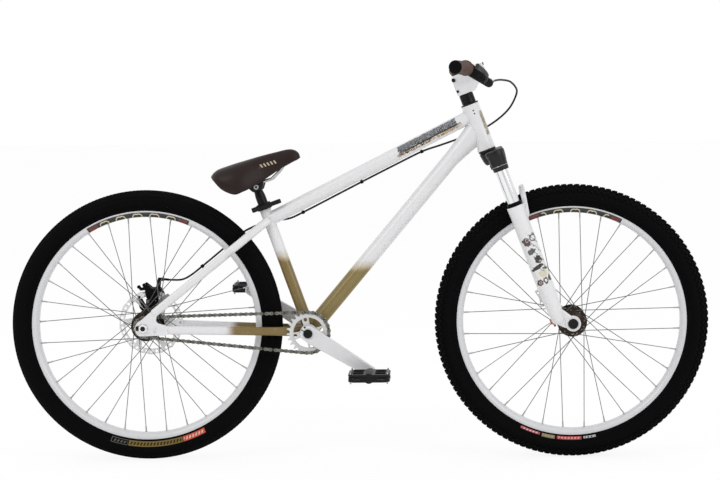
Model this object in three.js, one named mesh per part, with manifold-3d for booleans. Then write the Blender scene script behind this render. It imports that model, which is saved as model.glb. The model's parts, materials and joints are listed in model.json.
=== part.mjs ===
import * as THREE from 'three';
import { mergeVertices } from 'three/addons/utils/BufferGeometryUtils.js';
import Module from 'manifold-3d';

const wasm = await Module();
wasm.setup();

// A dirt jump bike: hardtail frame, sprung fork, one gear, one rear disc brake.
// +X is forward, +Z is up and the drive side is -Y. The origin is on the ground,
// midway between the rearmost point of the rear tyre and the foremost of the front tyre.
// Lengths are millimetres and angles are degrees.

// Fits shared by all pieces
const fitGap = 0.3;
const cutOverrun = 4;
const mergeTolerance = 0.0001;
const simplifyTolerance = 0.05;
const tubeSides = 16;
const smallSides = 10;
const boltSides = 8;
const curveSteps = 8;
const coarseSteps = 6;

// Places of the main axes
const wheelbase = 1051.6;
const crankTyreGap = 67;
const bottomBracketDrop = 16.2;
const headAngle = 69.5;
const seatAngle = 70.5;
const forkRake = 45;

// Tyres and rims
const rearTyreHeight = 49.4;
const frontTyreHeight = 53.2;
const rearTyreWidth = 54;
const frontTyreWidth = 58;
const tyreWall = 3;
const treadThickness = 6;
const tyreShoulderShares = [[0.27, 0.86], [0.56, 1], [0.84, 0.7], [1, 0.16]];
const casingShares = [[0.62, 0.84]];
const rimOuterRadius = 286;
const rimDepth = 17;
const rimFlangeHeight = 9;
const rimWidth = 30;
const rimWall = 2.4;
const rimInnerWidth = 16;
const wheelSides = 32;

// Spokes
const spokeDiameter = 2;
const spokesPerSide = 16;
const spokeCrossAngle = 67.5;
const spokeRimSpread = 4;
const spokeSides = 3;
const rearSpokeStart = 9.15;
const frontSpokeStart = 6.6;

// Hubs
const flangeRadius = 36.9;
const spokeCircleRadius = 30;
const flangeThickness = 3.5;
const hubBarrelRadius = 17;
const hubCapRadius = 12;
const hubSides = 16;
const frontHubWidth = 109.4;
const frontAxleRadius = 10;
const frontFlangeRight = 33;
const frontFlangeLeft = 27;
const frontDiscFaceY = 40;
const discMountRadius = 24;
const discMountThickness = 6;
const rearHubWidth = 134.4;
const rearAxleRadius = 6;
const rearFlangeRight = 31;
const rearFlangeLeft = 33;

// Rear brake disc
const discRadius = 80;
const discTrackWidth = 13.5;
const discThickness = 2;
const discY = 52;
const discArmWidth = 11;
const discArms = 6;
const discBoreRadius = 14;

// Drivetrain
const chainPitch = 12.7;
const chainLineY = 48;
const ringTeeth = 25;
const cogTeeth = 12;
const toothThickness = 3.2;
const toothHeight = 3.4;
const toothRootDepth = 4.2;
const toothTipShare = 0.16;
const toothRootShare = 0.34;
const ringBandWidth = 9;
const ringArms = 4;
const ringArmWidth = 15;
const ringHoleRadius = 4.5;
const ringHoleCircle = 33;
const ringHubRadius = 20;
const chainHeight = 8.4;
const chainPlateThickness = 1.3;
const chainInnerWidth = 4.6;
const rollerDiameter = 7.6;
const rollerSides = 4;
const rollerEvery = 2;
const chainArcSteps = 10;
const driverRadius = 17;
const driverInnerY = 36;
const cogCollarRadius = 15;
const cogCollarThickness = 3;
const axleSpacerRadius = 9;

// Cranks and bottom bracket
const shellRadius = 20;
const shellWidth = 68;
const cupRadius = 17;
const cupDepth = 20;
const cupFlangeRadius = 22;
const cupFlangeThickness = 8;
const spindleRadius = 9.5;
const crankLength = 180;
const crankAngle = 32;
const crankRootWidth = 40;
const crankTipWidth = 27;
const crankThickness = 14.5;
const crankInnerY = 57.5;
const crankBossRadius = 18;
const crankBevel = 2;
const crankBoltRadius = 11;
const crankBoltHeight = 3;

// Pedals
const pedalLength = 100;
const pedalWidth = 95;
const pedalCentreY = 135;
const pedalThickness = 19;
const pedalRail = 11;
const pedalBarrelRadius = 12.5;
const pedalAxleRadius = 6;
const pedalThreadRadius = 7;
const pedalCollarRadius = 9;
const pedalCollarThickness = 3.5;
const pedalEndCap = 4;
const pinRadius = 2;
const pinHeight = 4.5;
const pinSides = 4;
const pinPlaceShares = [[0.88, 0.8], [0.88, 0], [0.88, -0.8]];

// Frame tubes
const headTubeLength = 117;
const headTubeRadius = 22;
const headBoreRadius = 17.3;
const seatTubeRadius = 14.3;
const seatTubeLength = 333.7;
const seatBoreDepth = 240;
const topTubeRadius = 17;
const topTubeHeadDrop = 26;
const topTubeSeatDrop = 40.7;
const downTubeRadius = 19.5;
const downTubeHeadHeight = 60;
const downTubeFlare = 40;
const downTubeFlareShares = [0, 0.84, 0.93, 1];
const downTubeFlareGrowthShares = [0, 0, 0.45, 1];
const staySides = 10;
const chainstayHalfHeight = 10.5;
const chainstayRootHalfHeight = 15;
const chainstayHalfWidth = 7.5;
const chainstayRootY = 21;
const chainstayNarrowY = 34.3;
const chainstayTyreY = 41;
const chainstayCrankY = 47;
const chainstayRearY = 57;
const seatstayHalfHeight = 10;
const seatstayHalfWidth = 8;
const seatstayTopY = 18;
const seatstayTyreY = 43;
const seatstayDiscY = 66;
const seatstayTyreDrop = 40;
const seatstayFootX = 25.2;
const seatstayFootZ = 35.6;
const chainstayFootX = 29;
const chainstayFootDrop = 4.4;
const dropoutInnerY = 67.5;
const dropoutThickness = 6.5;
const dropoutRear = 21;
const dropoutBelow = 19.5;
const dropoutFront = 60;
const dropoutTop = 52;
const dropoutShares = [
  [-1, 0.05], [-0.85, -0.65], [-0.5, -1], [0.75, -0.92], [1, -0.8],
  [1, 0.1], [0.5, 0.27], [0.62, 0.94], [0.3, 0.78], [-0.2, 0.4], [-0.75, 0.26],
];
const axleSlotLength = 14;
const bridgeRadius = 6;
const bridgeTyreGap = 12;

// Rear axle nuts
const axleNutRadius = 11;
const axleNutThickness = 8;
const axleNutSides = 6;

// Headset
const steererRadius = 14.3;
const steererBore = 11.5;
const headsetInsert = 12;
const headsetRadius = 22;
const lowerCupFlange = 5.9;
const upperCupFlange = 3.7;
const spacerRadius = 17.5;
const spacerHeight = 24.4;

// Stem and handlebar
const stemHeight = 51;
const stemReach = 46;
const stemClampDrop = 11;
const stemWidth = 44;
const stemRearOverhang = 19.5;
const stemClampRadius = 20;
const stemBoltRadius = 4;
const stemBoltRise = 12;
const stemBevel = 2;
const topCapRadius = 17;
const topCapThickness = 4;
const barClampRadius = 15.9;
const barRadius = 11.1;
const barHalfWidth = 346;
const barClampHalfWidth = 30;
const barBendY = 110;
const barBendBack = 2.3;
const barRise = 5.5;
const barSweepAngle = 12.7;
const barUpsweepAngle = 0.4;
const barSides = 12;
const gripLength = 107;
const gripRadius = 16;
const gripFlangeRadius = 18.5;
const gripFlangeThickness = 4;
const plugThickness = 3.7;
const plugRadius = 15.5;

// Brake lever
const leverGripGap = 21;
const leverDropAngle = 25;
const leverClampRadius = 15;
const leverThickness = 15;
const leverArmReach = 60;
const leverArmDrop = 11;
const leverArmRadius = 10;
const leverPivotReach = 48;
const leverPivotOut = 15;
const leverPinRadius = 2.5;
const leverEyeRadius = 6.5;
const leverTabThickness = 6;
const leverEarThickness = 3;
const adjusterRadius = 6.5;
const adjusterLength = 18;
const bladeHalfHeight = 6;
const bladeHalfThickness = 2.6;
const bladeSides = 8;
const bladePivotDrop = 9;
const bladeRootOut = 1.5;
const bladeLength = 107;
const bladeSweep = 33.5;
const bladeRise = 21.2;
const leverBevel = 1;
// Along the blade's length, back towards the bar and up from its pivot
const bladeShares = [
  [0, 0, 0], [0.05, -0.036, 0], [0.11, -0.075, 0.14], [0.22, -0.048, 0.51],
  [0.41, 0.18, 0.73], [0.62, 0.48, 0.86], [1, 1, 1],
];

// Fork
const crownDepth = 52;
const crownTopDrop = 6.5;
const crownSocketRadius = 19.5;
const crownShoulderRadius = 23;
const crownArchHeight = 22;
const crownArchHalfWidth = 40;
const crownBeamDepth = 38;
const crownBevel = 2.5;
const legOffset = 14.6;
const legSpacing = 130;
const stanchionRadius = 15;
const stanchionExposed = 83.5;
const stanchionOverlap = 152;
const stanchionBore = 11;
const stanchionCapThickness = 5;
const sealRadius = 19;
const sealHeight = 10;
const legRadius = 20.5;
const legTipRadius = 16;
const legTaperLength = 60;
const legFootGap = 20;
const legFloor = 60;
const dropoutBossRadius = 19;
const neckStartRise = 12;
const forkDropoutInnerY = 55;
const forkDropoutOuterY = 73;
const archTopThickness = 15;
const archRise = 25;
const archTyreGap = 5.5;
const archRearOffset = 26;
const archDepth = 13;
const archTilt = 10;
const archFootHeight = 29.7;
const archHalfWidth = 62;
const archWindowHalfWidth = 44;
const tabThickness = 14;
const tabReach = 9;
const tabLength = 44;
const tabLift = 30;
const frontCapRadius = 12.5;
const frontCapThickness = 5;
const knobRadius = 8;
const knobHeight = 13;
const knobStemRadius = 3;
const knobStemLength = 8;
const knobWellDepth = 12;
const knobNubLength = 8;
const knobSetback = 12;

// Seat post, clamp and saddle
const postRadius = 12.7;
const postDepth = 200;
const postRise = 32;
const collarRadius = 18;
const collarHeight = 16;
const collarOverhang = 2;
const collarEarReach = 31;
const collarEarHalfWidth = 9;
const collarSlit = 1.8;
const seatLeverPivotReach = 24;
const seatLeverPivotY = 15.8;
const seatLeverCamRadius = 6.5;
const seatLeverEnd = 46;
const seatLeverOuterY = 27;
const seatLeverThickness = 6;
const seatLeverHeight = 11;
const cradlePivotRise = 45.8;
const cradlePivotForward = 1.3;
const cradleHeadRadius = 11;
const cradleHeadHalfWidth = 15;
const cradlePinRadius = 4;
const saddleTilt = 16;
const cradleHalfLength = 20;
const cradleHalfWidth = 29;
const cradleWall = 5;
const cradleHeight = 11;
const cradlePinEnd = 2;
const cradleGap = 0.8;
const railRadius = 3.5;
const railHalfGap = 22;
const railRise = 8;
const railSides = 6;
const railStraightHalf = 34;
const railRear = 76;
const railRearHalfGap = 34;
const railRearRise = 41.2;
const railFront = 96;
const railFrontRise = 43;
// From a rail's straight towards its end: along, across and up
const railRearShares = [[1, 1, 1], [0.81, 1, 1], [0.52, 0.58, 0.36], [0.24, 0.08, 0.06], [0, 0, 0]];
const railFrontShares = [
  [0, 0, 0], [0.19, 0.14, 0.09], [0.48, 0.45, 0.37], [0.68, 0.55, 0.63], [0.89, 0.64, 0.94],
  [0.98, 0.77, 1], [1, 1, 1],
];
const saddleLength = 221;
const saddleRear = 99;
const saddleHalfWidth = 68;
const saddleHeight = 70;
const saddleSkirtWall = 6;
const saddlePadThickness = 12;
// Along the saddle: its half width, top, lower edge and how far it is hollow
const saddleSectionShares = [
  [0, 0.44, 0.82, 0.74, 0], [0.04, 0.72, 0.91, 0.5, 0.3], [0.1, 0.9, 0.97, 0.22, 0.9],
  [0.21, 1, 0.99, -0.03, 1], [0.31, 0.97, 1, -0.02, 1], [0.42, 0.8, 1, 0.04, 1],
  [0.58, 0.5, 1, 0.2, 1], [0.75, 0.34, 0.98, 0.36, 1], [0.9, 0.29, 0.95, 0.47, 0.9],
  [0.97, 0.23, 0.85, 0.51, 0], [1, 0.13, 0.72, 0.57, 0],
];
const saddleCrownShares = [
  [0.95, 0], [1, 0.3], [0.98, 0.66], [0.84, 0.9], [0.45, 0.99], [0, 0.97],
];
const basePlateThickness = 3;
const basePlateHalfWidth = 34;
const basePlateNoseHalfWidth = 14;
const basePlateDrop = 2;
const noseSocketLength = 41;
const noseSocketLip = 3;
const noseSocketThickness = 4.4;
const noseSocketStep = 8;
const noseSocketHalfWidth = 8;
const rearSocketFront = 48;
const rearSocketLength = 30;
const rearSocketHeight = 10;
const rearSocketShares = [
  [0, 1], [0, 0.5], [0.33, 0], [1, 0], [1, 0.4], [0.73, 0.55], [0.13, 1],
];
const rearSocketInnerY = 26;
const rearSocketOuterY = 39;

// Brake caliper and its bracket
const caliperX = 4.2;
const caliperZ = 75.5;
const caliperLength = 44;
const caliperHeight = 33;
const caliperWidth = 31;
const caliperSlot = 4.4;
const caliperBevel = 2;
const bracketThickness = 6.5;
const bracketRear = 18;
const bracketFront = 19.5;
const bracketBottom = 17;
const bracketFoot = 9;
const caliperArmLength = 32;
const caliperArmThickness = 5;
const caliperArmRadius = 9;
const caliperArmTipRadius = 4.5;
const caliperArmAngle = 118;
const caliperPinRadius = 3;
const cableStopRadius = 5;
const cableStopLength = 14;
const cableStopRise = 32.5;
const cableStopPost = 8;
const caliperShoulderShare = 0.6;

// Rear brake cable: outer casing and the clips that hold it to the frame
const cableRadius = 2.5;
const cableSides = 6;
const cableLoopSteps = 24;
const cableFrameSteps = 34;
const clipRadius = 4.5;
const clipLength = 7;
const clipSides = 6;
const cableLoopRoute = [
  [328, -181, 929.5], [330.5, -160, 931.5], [340, -128, 934], [354, -92, 934.5],
  [374, -58, 930], [389, -22, 914], [389.5, 2, 898], [375, 22, 868],
  [351, 33, 843], [319.5, 37.5, 821], [292, 36, 808.5],
];
const cableFrameRoute = [
  [291.4, 35.9, 808.3], [268, 34, 799], [241.7, 28, 789], [200, 19, 775],
  [156.1, 10, 760.4], [90, 2, 728.5], [7.5, 0, 687.2], [-138.6, 4, 612.8],
  [-178, 17, 596], [-212, 33, 592], [-240, 42.5, 584], [-270, 47.5, 573.5],
  [-302, 48, 555], [-341, 54, 522], [-398, 63, 475.5], [-428, 66, 452.5],
  [-450, 66.5, 442], [-474, 62, 441.5], [-494, 59.8, 443.4],
];
const clipSteps = [4, 6, 7, 12, 14];

// Places that follow from the driving sizes
const radians = (angle) => THREE.MathUtils.degToRad(angle);
const rearTyreRadius = rimOuterRadius + rearTyreHeight;
const frontTyreRadius = rimOuterRadius + frontTyreHeight;
const chainstayReach = rearTyreRadius + crankTyreGap;
const sealTop = -crownTopDrop - crownDepth - stanchionExposed;
const legTop = sealTop - sealHeight;
const archInnerTop = legTop + archRise;
const forkLength = frontTyreRadius + archTyreGap - archInnerTop;
const rearAxleX = (rearTyreRadius - frontTyreRadius - wheelbase) / 2;
const frontAxleX = rearAxleX + wheelbase;
const crankX = rearAxleX + chainstayReach;
const crankZ = rearTyreRadius - bottomBracketDrop;
const headLean = radians(90 - headAngle);
const seatLean = radians(90 - seatAngle);
const rimBedRadius = rimOuterRadius - rimFlangeHeight;
const rimInnerRadius = rimOuterRadius - rimDepth;
const ringPitchRadius = chainPitch / (2 * Math.sin(Math.PI / ringTeeth));
const cogPitchRadius = chainPitch / (2 * Math.sin(Math.PI / cogTeeth));
const legY = legSpacing / 2;
const headX = frontAxleX - forkRake * Math.cos(headLean) - forkLength * Math.sin(headLean);
const headZ = frontTyreRadius - forkRake * Math.sin(headLean) + forkLength * Math.cos(headLean);

// Groups: each is the frame of reference of the pieces drawn in it
const bike = new THREE.Group();
function groupAt(parent, x, y, z, turn = 0) {
  const group = new THREE.Group();
  group.position.set(x, y, z);
  group.rotation.y = turn;
  parent.add(group);
  group.updateWorldMatrix(true, false);
  return group;
}
const steering = groupAt(bike, headX, 0, headZ, -headLean);
const seat = groupAt(
  bike,
  crankX - (seatTubeLength - collarHeight + collarOverhang) * Math.sin(seatLean),
  0,
  crankZ + (seatTubeLength - collarHeight + collarOverhang) * Math.cos(seatLean),
  -seatLean,
);
const saddle = groupAt(seat, cradlePivotForward, 0, cradlePivotRise + collarHeight - collarOverhang,
  seatLean - radians(saddleTilt));
const rearHub = groupAt(bike, rearAxleX, 0, rearTyreRadius);
const frontHub = groupAt(steering, forkRake, 0, -forkLength, headLean);
const crank = groupAt(bike, crankX, 0, crankZ, radians(crankAngle));
const spacerBottom = headTubeLength + upperCupFlange + fitGap;
const stemBottom = spacerBottom + spacerHeight + 2 * fitGap;
const clampHeight = stemBottom + stemHeight - stemClampDrop;
const cockpit = groupAt(steering, stemReach, 0, clampHeight, headLean);
const gripInnerY = barHalfWidth - plugThickness - fitGap - gripLength;
const leverY = gripInnerY - leverGripGap;
const basePlateTop = saddleHeight - saddlePadThickness - basePlateDrop;

// Finishes
function finish(colour, roughness, metalness) {
  return { colour, roughness, metalness };
}
const pearlWhite = finish(0xeceae8, 0.35, 0.1);
const frostWhite = finish(0xf0f0f0, 0.4, 0.1);
const satinBlack = finish(0x1b1b1c, 0.5, 0.2);
const tyreRubber = finish(0x17171a, 0.85, 0);
const bronze = finish(0x4a3527, 0.35, 0.8);
const chrome = finish(0xc8ccd0, 0.12, 1);
const steel = finish(0x8d8f92, 0.35, 0.9);
const darkSteel = finish(0x4c4d50, 0.4, 0.8);
const brownRubber = finish(0x5c443b, 0.7, 0);
const brownLeather = finish(0x33201d, 0.3, 0);
const greyMetal = finish(0x77787a, 0.4, 0.7);
const knobRed = finish(0xb8431f, 0.4, 0.5);

// Solids from three.js geometry
function solid(geometry) {
  const bare = geometry.clone();
  bare.deleteAttribute('normal');
  bare.deleteAttribute('uv');
  const merged = mergeVertices(bare, mergeTolerance);
  const places = merged.getAttribute('position');
  const index = merged.getIndex();
  const corner = [new THREE.Vector3(), new THREE.Vector3(), new THREE.Vector3()];
  const triangles = [];
  let volume = 0;
  for (let i = 0; i < index.count; i += 3) {
    const ids = [index.getX(i), index.getX(i + 1), index.getX(i + 2)];
    if (ids[0] === ids[1] || ids[1] === ids[2] || ids[2] === ids[0]) continue;
    ids.forEach((id, k) => corner[k].fromBufferAttribute(places, id));
    volume += corner[0].dot(corner[1].cross(corner[2]));
    triangles.push(ids);
  }
  const outward = volume > 0 ? triangles : triangles.map(([a, b, c]) => [a, c, b]);
  return new wasm.Manifold(new wasm.Mesh({
    numProp: 3,
    vertProperties: new Float32Array(places.array),
    triVerts: new Uint32Array(outward.flat()),
  }));
}

function join(bodies) {
  return bodies.reduce((whole, body) => whole.add(body));
}

function mirrored(body) {
  return body.mirror([0, 1, 0]);
}

// A body drawn in one group's frame, moved into another's
function carried(body, from, to = bike) {
  const move = to.matrixWorld.clone().invert().multiply(from.matrixWorld);
  return body.transform(move.elements);
}

function bore(radius, sides = tubeSides) {
  return (radius + fitGap) / Math.cos(Math.PI / sides);
}

// Round bar from one point to another
function rod(from, to, radius, sides = tubeSides, endRadius = radius) {
  const start = new THREE.Vector3(...from);
  const way = new THREE.Vector3(...to).sub(start);
  const bar = new THREE.CylinderGeometry(endRadius, radius, way.length(), sides);
  const turn = new THREE.Quaternion().setFromUnitVectors(
    new THREE.Vector3(0, 1, 0),
    way.clone().normalize(),
  );
  bar.applyQuaternion(turn);
  bar.translate(start.x + way.x / 2, start.y + way.y / 2, start.z + way.z / 2);
  return solid(bar);
}

function axleRod(radius, yFrom, yTo, sides = tubeSides, x = 0, z = 0) {
  return rod([x, yFrom, z], [x, yTo, z], radius, sides);
}

function post(radius, zFrom, zTo, sides = tubeSides, x = 0, y = 0) {
  return rod([x, y, zFrom], [x, y, zTo], radius, sides);
}

function block(xFrom, xTo, yFrom, yTo, zFrom, zTo) {
  const box = new THREE.BoxGeometry(xTo - xFrom, yTo - yFrom, zTo - zFrom);
  box.translate((xFrom + xTo) / 2, (yFrom + yTo) / 2, (zFrom + zTo) / 2);
  return solid(box);
}

// Ring turned about the Y axis from a closed outline of [radius, y] points
function turned(outline, sides) {
  const points = outline.map(([radius, y]) => new THREE.Vector2(radius, y));
  if (outline[0][0] !== 0) points.push(points[0].clone());
  return solid(new THREE.LatheGeometry(points, sides));
}

function outlineShape(points) {
  return new THREE.Shape(points.map(([x, y]) => new THREE.Vector2(x, y)));
}

// Side-view outline in X and Z, thick along Y
function sidePlate(shape, yFrom, yTo, bevel = 0, curveSegments = curveSteps) {
  const plate = new THREE.ExtrudeGeometry(shape, {
    depth: yTo - yFrom - 2 * bevel,
    bevelEnabled: bevel > 0,
    bevelThickness: bevel,
    bevelSize: bevel,
    bevelOffset: -bevel,
    bevelSegments: 1,
    curveSegments,
  });
  plate.translate(0, 0, bevel);
  plate.rotateX(Math.PI / 2);
  plate.translate(0, yTo, 0);
  return solid(plate);
}

// Front-view outline in Y and Z, thick along X
function frontPlate(shape, xFrom, xTo, bevel = 0) {
  const plate = new THREE.ExtrudeGeometry(shape, {
    depth: xTo - xFrom - 2 * bevel,
    bevelEnabled: bevel > 0,
    bevelThickness: bevel,
    bevelSize: bevel,
    bevelOffset: -bevel,
    bevelSegments: 1,
    curveSegments: coarseSteps,
  });
  plate.translate(0, 0, bevel);
  plate.applyMatrix4(new THREE.Matrix4().makeBasis(
    new THREE.Vector3(0, 1, 0),
    new THREE.Vector3(0, 0, 1),
    new THREE.Vector3(1, 0, 0),
  ));
  plate.translate(xFrom, 0, 0);
  return solid(plate);
}

// Top-view outline in X and Y, thick along Z
function topPlate(shape, zFrom, zTo) {
  const plate = new THREE.ExtrudeGeometry(shape, { depth: zTo - zFrom, bevelEnabled: false });
  plate.translate(0, 0, zFrom);
  return solid(plate);
}

// Outline round two circles, the larger at the start and the smaller at the end
function leverShape(x, z, startRadius, endRadius, steps = curveSteps) {
  const way = new THREE.Vector2(x, z);
  const heading = way.angle();
  const flare = Math.acos((startRadius - endRadius) / way.length());
  const points = [];
  for (let i = 0; i <= steps; i += 1) {
    const angle = heading - flare + (2 * flare * i) / steps;
    points.push([x + endRadius * Math.cos(angle), z + endRadius * Math.sin(angle)]);
  }
  for (let i = 0; i <= steps; i += 1) {
    const angle = heading + flare + ((2 * Math.PI - 2 * flare) * i) / steps;
    points.push([startRadius * Math.cos(angle), startRadius * Math.sin(angle)]);
  }
  return outlineShape(points);
}

// Closed skin through rings of equal count, with flat ends
function loft(rings) {
  const count = rings[0].length;
  const positions = rings.flat().flatMap((point) => [point.x, point.y, point.z]);
  const indices = [];
  for (let r = 0; r < rings.length - 1; r += 1) {
    for (let i = 0; i < count; i += 1) {
      const next = (i + 1) % count;
      const a = r * count + i;
      const b = r * count + next;
      indices.push(a, b, a + count, b, b + count, a + count);
    }
  }
  const last = (rings.length - 1) * count;
  endFaces(rings[0]).forEach(([a, b, c]) => indices.push(a, c, b));
  endFaces(rings.at(-1)).forEach(([a, b, c]) => indices.push(last + a, last + b, last + c));
  const skin = new THREE.BufferGeometry();
  skin.setAttribute('position', new THREE.Float32BufferAttribute(positions, 3));
  skin.setIndex(indices);
  return solid(skin);
}

// Triangles over a flat ring, wound the way the ring runs
function endFaces(ring) {
  const across = ring[1].clone().sub(ring[0]).normalize();
  const normal = new THREE.Vector3();
  ring.forEach((point, i) => {
    const next = ring[(i + 1) % ring.length];
    normal.add(point.clone().sub(ring[0]).cross(next.clone().sub(ring[0])));
  });
  normal.normalize();
  const up = normal.clone().cross(across);
  const flat = ring.map((point) => new THREE.Vector2(
    point.clone().sub(ring[0]).dot(across),
    point.clone().sub(ring[0]).dot(up),
  ));
  return THREE.ShapeUtils.triangulateShape(flat, []);
}

// Oval ring round a point, square to the way it faces, its width along a given side
function ovalRing(centre, facing, across, above, below, halfWidth, sides) {
  const side = across.clone();
  side.addScaledVector(facing, -side.dot(facing)).normalize();
  const up = facing.clone().cross(side);
  const points = [];
  for (let i = 0; i < sides; i += 1) {
    const angle = (2 * Math.PI * (i + 0.5)) / sides;
    const lift = Math.sin(angle) > 0 ? above : below;
    points.push(centre.clone()
      .addScaledVector(side, halfWidth * Math.cos(angle))
      .addScaledVector(up, lift * Math.sin(angle)));
  }
  return points;
}

// Oval tube through stations of { at, above, below, halfWidth }
function ovalTube(stations, sides, across = new THREE.Vector3(0, 1, 0)) {
  const points = stations.map(({ at }) => new THREE.Vector3(...at));
  return loft(stations.map(({ above, below = above, halfWidth }, i) => {
    const before = points[Math.max(i - 1, 0)];
    const after = points[Math.min(i + 1, points.length - 1)];
    const way = points[i].clone().sub(before).normalize();
    const onward = after.clone().sub(points[i]).normalize();
    const facing = way.add(onward).normalize();
    return ovalRing(points[i], facing, across, above, below, halfWidth, sides);
  }));
}

// Round bar bent through points, mitred where it bends
function bentRod(points, radius, sides, across) {
  const stations = points.map((at) => ({ at, above: radius, halfWidth: radius }));
  return ovalTube(stations, sides, across);
}

// Tube of one radius along a curve
function pipe(curve, radius, sides, steps) {
  const section = [];
  for (let i = 0; i < sides; i += 1) {
    const angle = (2 * Math.PI * i) / sides;
    section.push([radius * Math.cos(angle), radius * Math.sin(angle)]);
  }
  return solid(new THREE.ExtrudeGeometry(outlineShape(section), {
    steps,
    bevelEnabled: false,
    extrudePath: curve,
  }));
}

function smoothCurve(points) {
  const knots = points.map((point) => new THREE.Vector3(...point));
  return new THREE.CatmullRomCurve3(knots, false, 'centripetal');
}

// A named mesh of one solid, hung in a group
function addPiece(group, name, body, look) {
  const mesh = body.simplify(simplifyTolerance).getMesh();
  const geometry = new THREE.BufferGeometry();
  geometry.setAttribute('position', new THREE.BufferAttribute(new Float32Array(mesh.vertProperties), 3));
  geometry.setIndex(new THREE.BufferAttribute(new Uint32Array(mesh.triVerts), 1));
  geometry.computeVertexNormals();
  const material = new THREE.MeshStandardMaterial({
    color: look.colour,
    roughness: look.roughness,
    metalness: look.metalness,
  });
  const piece = new THREE.Mesh(geometry, material);
  piece.name = name;
  group.add(piece);
}

// Tyre: a casing open towards the rim, its beads between the rim's flanges
function tyre(radius, width) {
  const height = radius - rimOuterRadius;
  const beadY = rimWidth / 2 - rimWall - fitGap;
  const beadRadius = rimBedRadius + fitGap;
  const inside = height - treadThickness;
  const outer = [[beadRadius, beadY], [rimOuterRadius + fitGap, beadY]];
  tyreShoulderShares.forEach(([up, out]) => {
    outer.push([rimOuterRadius + up * height, (out * width) / 2]);
  });
  const inner = [[beadRadius, beadY - tyreWall]];
  casingShares.forEach(([up, out]) => {
    inner.push([rimOuterRadius + up * inside, out * (width / 2) - tyreWall / 2]);
  });
  const half = [...inner.reverse(), ...outer];
  const mirror = half.map(([r, y]) => [r, -y]).reverse();
  return turned([...half, ...mirror], wheelSides);
}

function rim() {
  const half = [
    [rimInnerRadius, rimInnerWidth / 2],
    [rimBedRadius, rimWidth / 2],
    [rimOuterRadius, rimWidth / 2],
    [rimOuterRadius, rimWidth / 2 - rimWall],
    [rimBedRadius, rimWidth / 2 - rimWall],
  ];
  const mirror = half.map(([r, y]) => [r, -y]).reverse();
  return turned([...half, ...mirror], wheelSides);
}

// One flange's spokes, from its edge to the rim: they lie on one hyperboloid and meet
// where they cross
function spokes(startAngle, flangeY, side) {
  const rimEnd = rimInnerRadius * Math.cos(Math.PI / wheelSides) - 2 * fitGap;
  const hubY = side * (flangeY - flangeThickness / 2);
  const hubEnd = flangeRadius + spokeDiameter / 2 + fitGap;
  const rimY = side * spokeRimSpread;
  const step = 360 / (2 * spokesPerSide);
  const first = side < 0 ? 0 : 1;
  const rods = [];
  for (let k = 0; k < spokesPerSide; k += 1) {
    const rimAngle = radians(startAngle + step * (2 * k + first));
    const sign = k % 2 === 0 ? 1 : -1;
    const hubAngle = rimAngle + sign * radians(spokeCrossAngle);
    const hole = new THREE.Vector2(
      spokeCircleRadius * Math.cos(hubAngle),
      spokeCircleRadius * Math.sin(hubAngle),
    );
    const nipple = new THREE.Vector2(rimEnd * Math.cos(rimAngle), rimEnd * Math.sin(rimAngle));
    const edge = hole.lerp(nipple, edgeShare(hole, nipple, hubEnd));
    rods.push(rod(
      [edge.x, hubY, edge.y],
      [nipple.x, rimY, nipple.y],
      spokeDiameter / 2,
      spokeSides,
    ));
  }
  return join(rods);
}

// Share of the way from one point to another at which a circle about the origin is left
function edgeShare(from, to, radius) {
  const way = to.clone().sub(from);
  const along = from.dot(way) / way.lengthSq();
  const beyond = (from.lengthSq() - radius * radius) / way.lengthSq();
  return Math.sqrt(along * along - beyond) - along;
}

// Hub flange outline on one side
function flangeOutline(faceY, side) {
  const inner = faceY - flangeThickness;
  return [
    [hubBarrelRadius, side * (inner - flangeThickness)],
    [flangeRadius, side * inner],
    [flangeRadius, side * faceY],
    [hubBarrelRadius, side * faceY],
  ];
}

function frontHubBody() {
  const half = frontHubWidth / 2;
  const hole = bore(frontAxleRadius, hubSides);
  const right = flangeOutline(frontFlangeRight, -1).reverse();
  const left = flangeOutline(frontFlangeLeft, 1);
  return turned([
    [hole, -half], [hubCapRadius, -half], [hubBarrelRadius, -half + discMountThickness],
    ...right, ...left,
    [hubBarrelRadius, frontDiscFaceY - discMountThickness],
    [discMountRadius, frontDiscFaceY - discMountThickness],
    [discMountRadius, frontDiscFaceY], [hubCapRadius, frontDiscFaceY],
    [hubCapRadius, half], [hole, half],
  ], hubSides);
}

function rearHubBody() {
  const half = rearHubWidth / 2;
  const hole = bore(rearAxleRadius, hubSides);
  const right = flangeOutline(rearFlangeRight, -1).reverse();
  const left = flangeOutline(rearFlangeLeft, 1);
  const discFace = discY - discThickness / 2 - fitGap;
  const spigot = discBoreRadius - fitGap;
  return turned([
    [hole, fitGap - driverInnerY], [hubBarrelRadius, fitGap - driverInnerY],
    ...right, ...left,
    [hubBarrelRadius, discFace - discMountThickness],
    [discMountRadius, discFace - discMountThickness],
    [discMountRadius, discFace], [spigot, discFace],
    [spigot, discY + discThickness], [axleSpacerRadius, discY + discMountThickness],
    [axleSpacerRadius, half], [hole, half],
  ], hubSides);
}

// Brake disc: a braking track on arms round the hub's spigot
function brakeDisc() {
  const shape = new THREE.Shape();
  shape.absarc(0, 0, discRadius, 0, 2 * Math.PI);
  const hole = new THREE.Path();
  hole.absarc(0, 0, discBoreRadius / Math.cos(Math.PI / hubSides), 0, 2 * Math.PI, true);
  shape.holes.push(hole);
  const outer = discRadius - discTrackWidth;
  const inner = discMountRadius;
  for (let k = 0; k < discArms; k += 1) {
    const middle = (2 * Math.PI * (k + 0.5)) / discArms;
    const wide = Math.PI / discArms - discArmWidth / 2 / outer;
    const narrow = Math.PI / discArms - discArmWidth / 2 / inner;
    shape.holes.push(windowPath(middle, outer, wide, inner, narrow));
  }
  return sidePlate(shape, discY - discThickness / 2, discY + discThickness / 2, 0, hubSides / 2);
}

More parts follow.
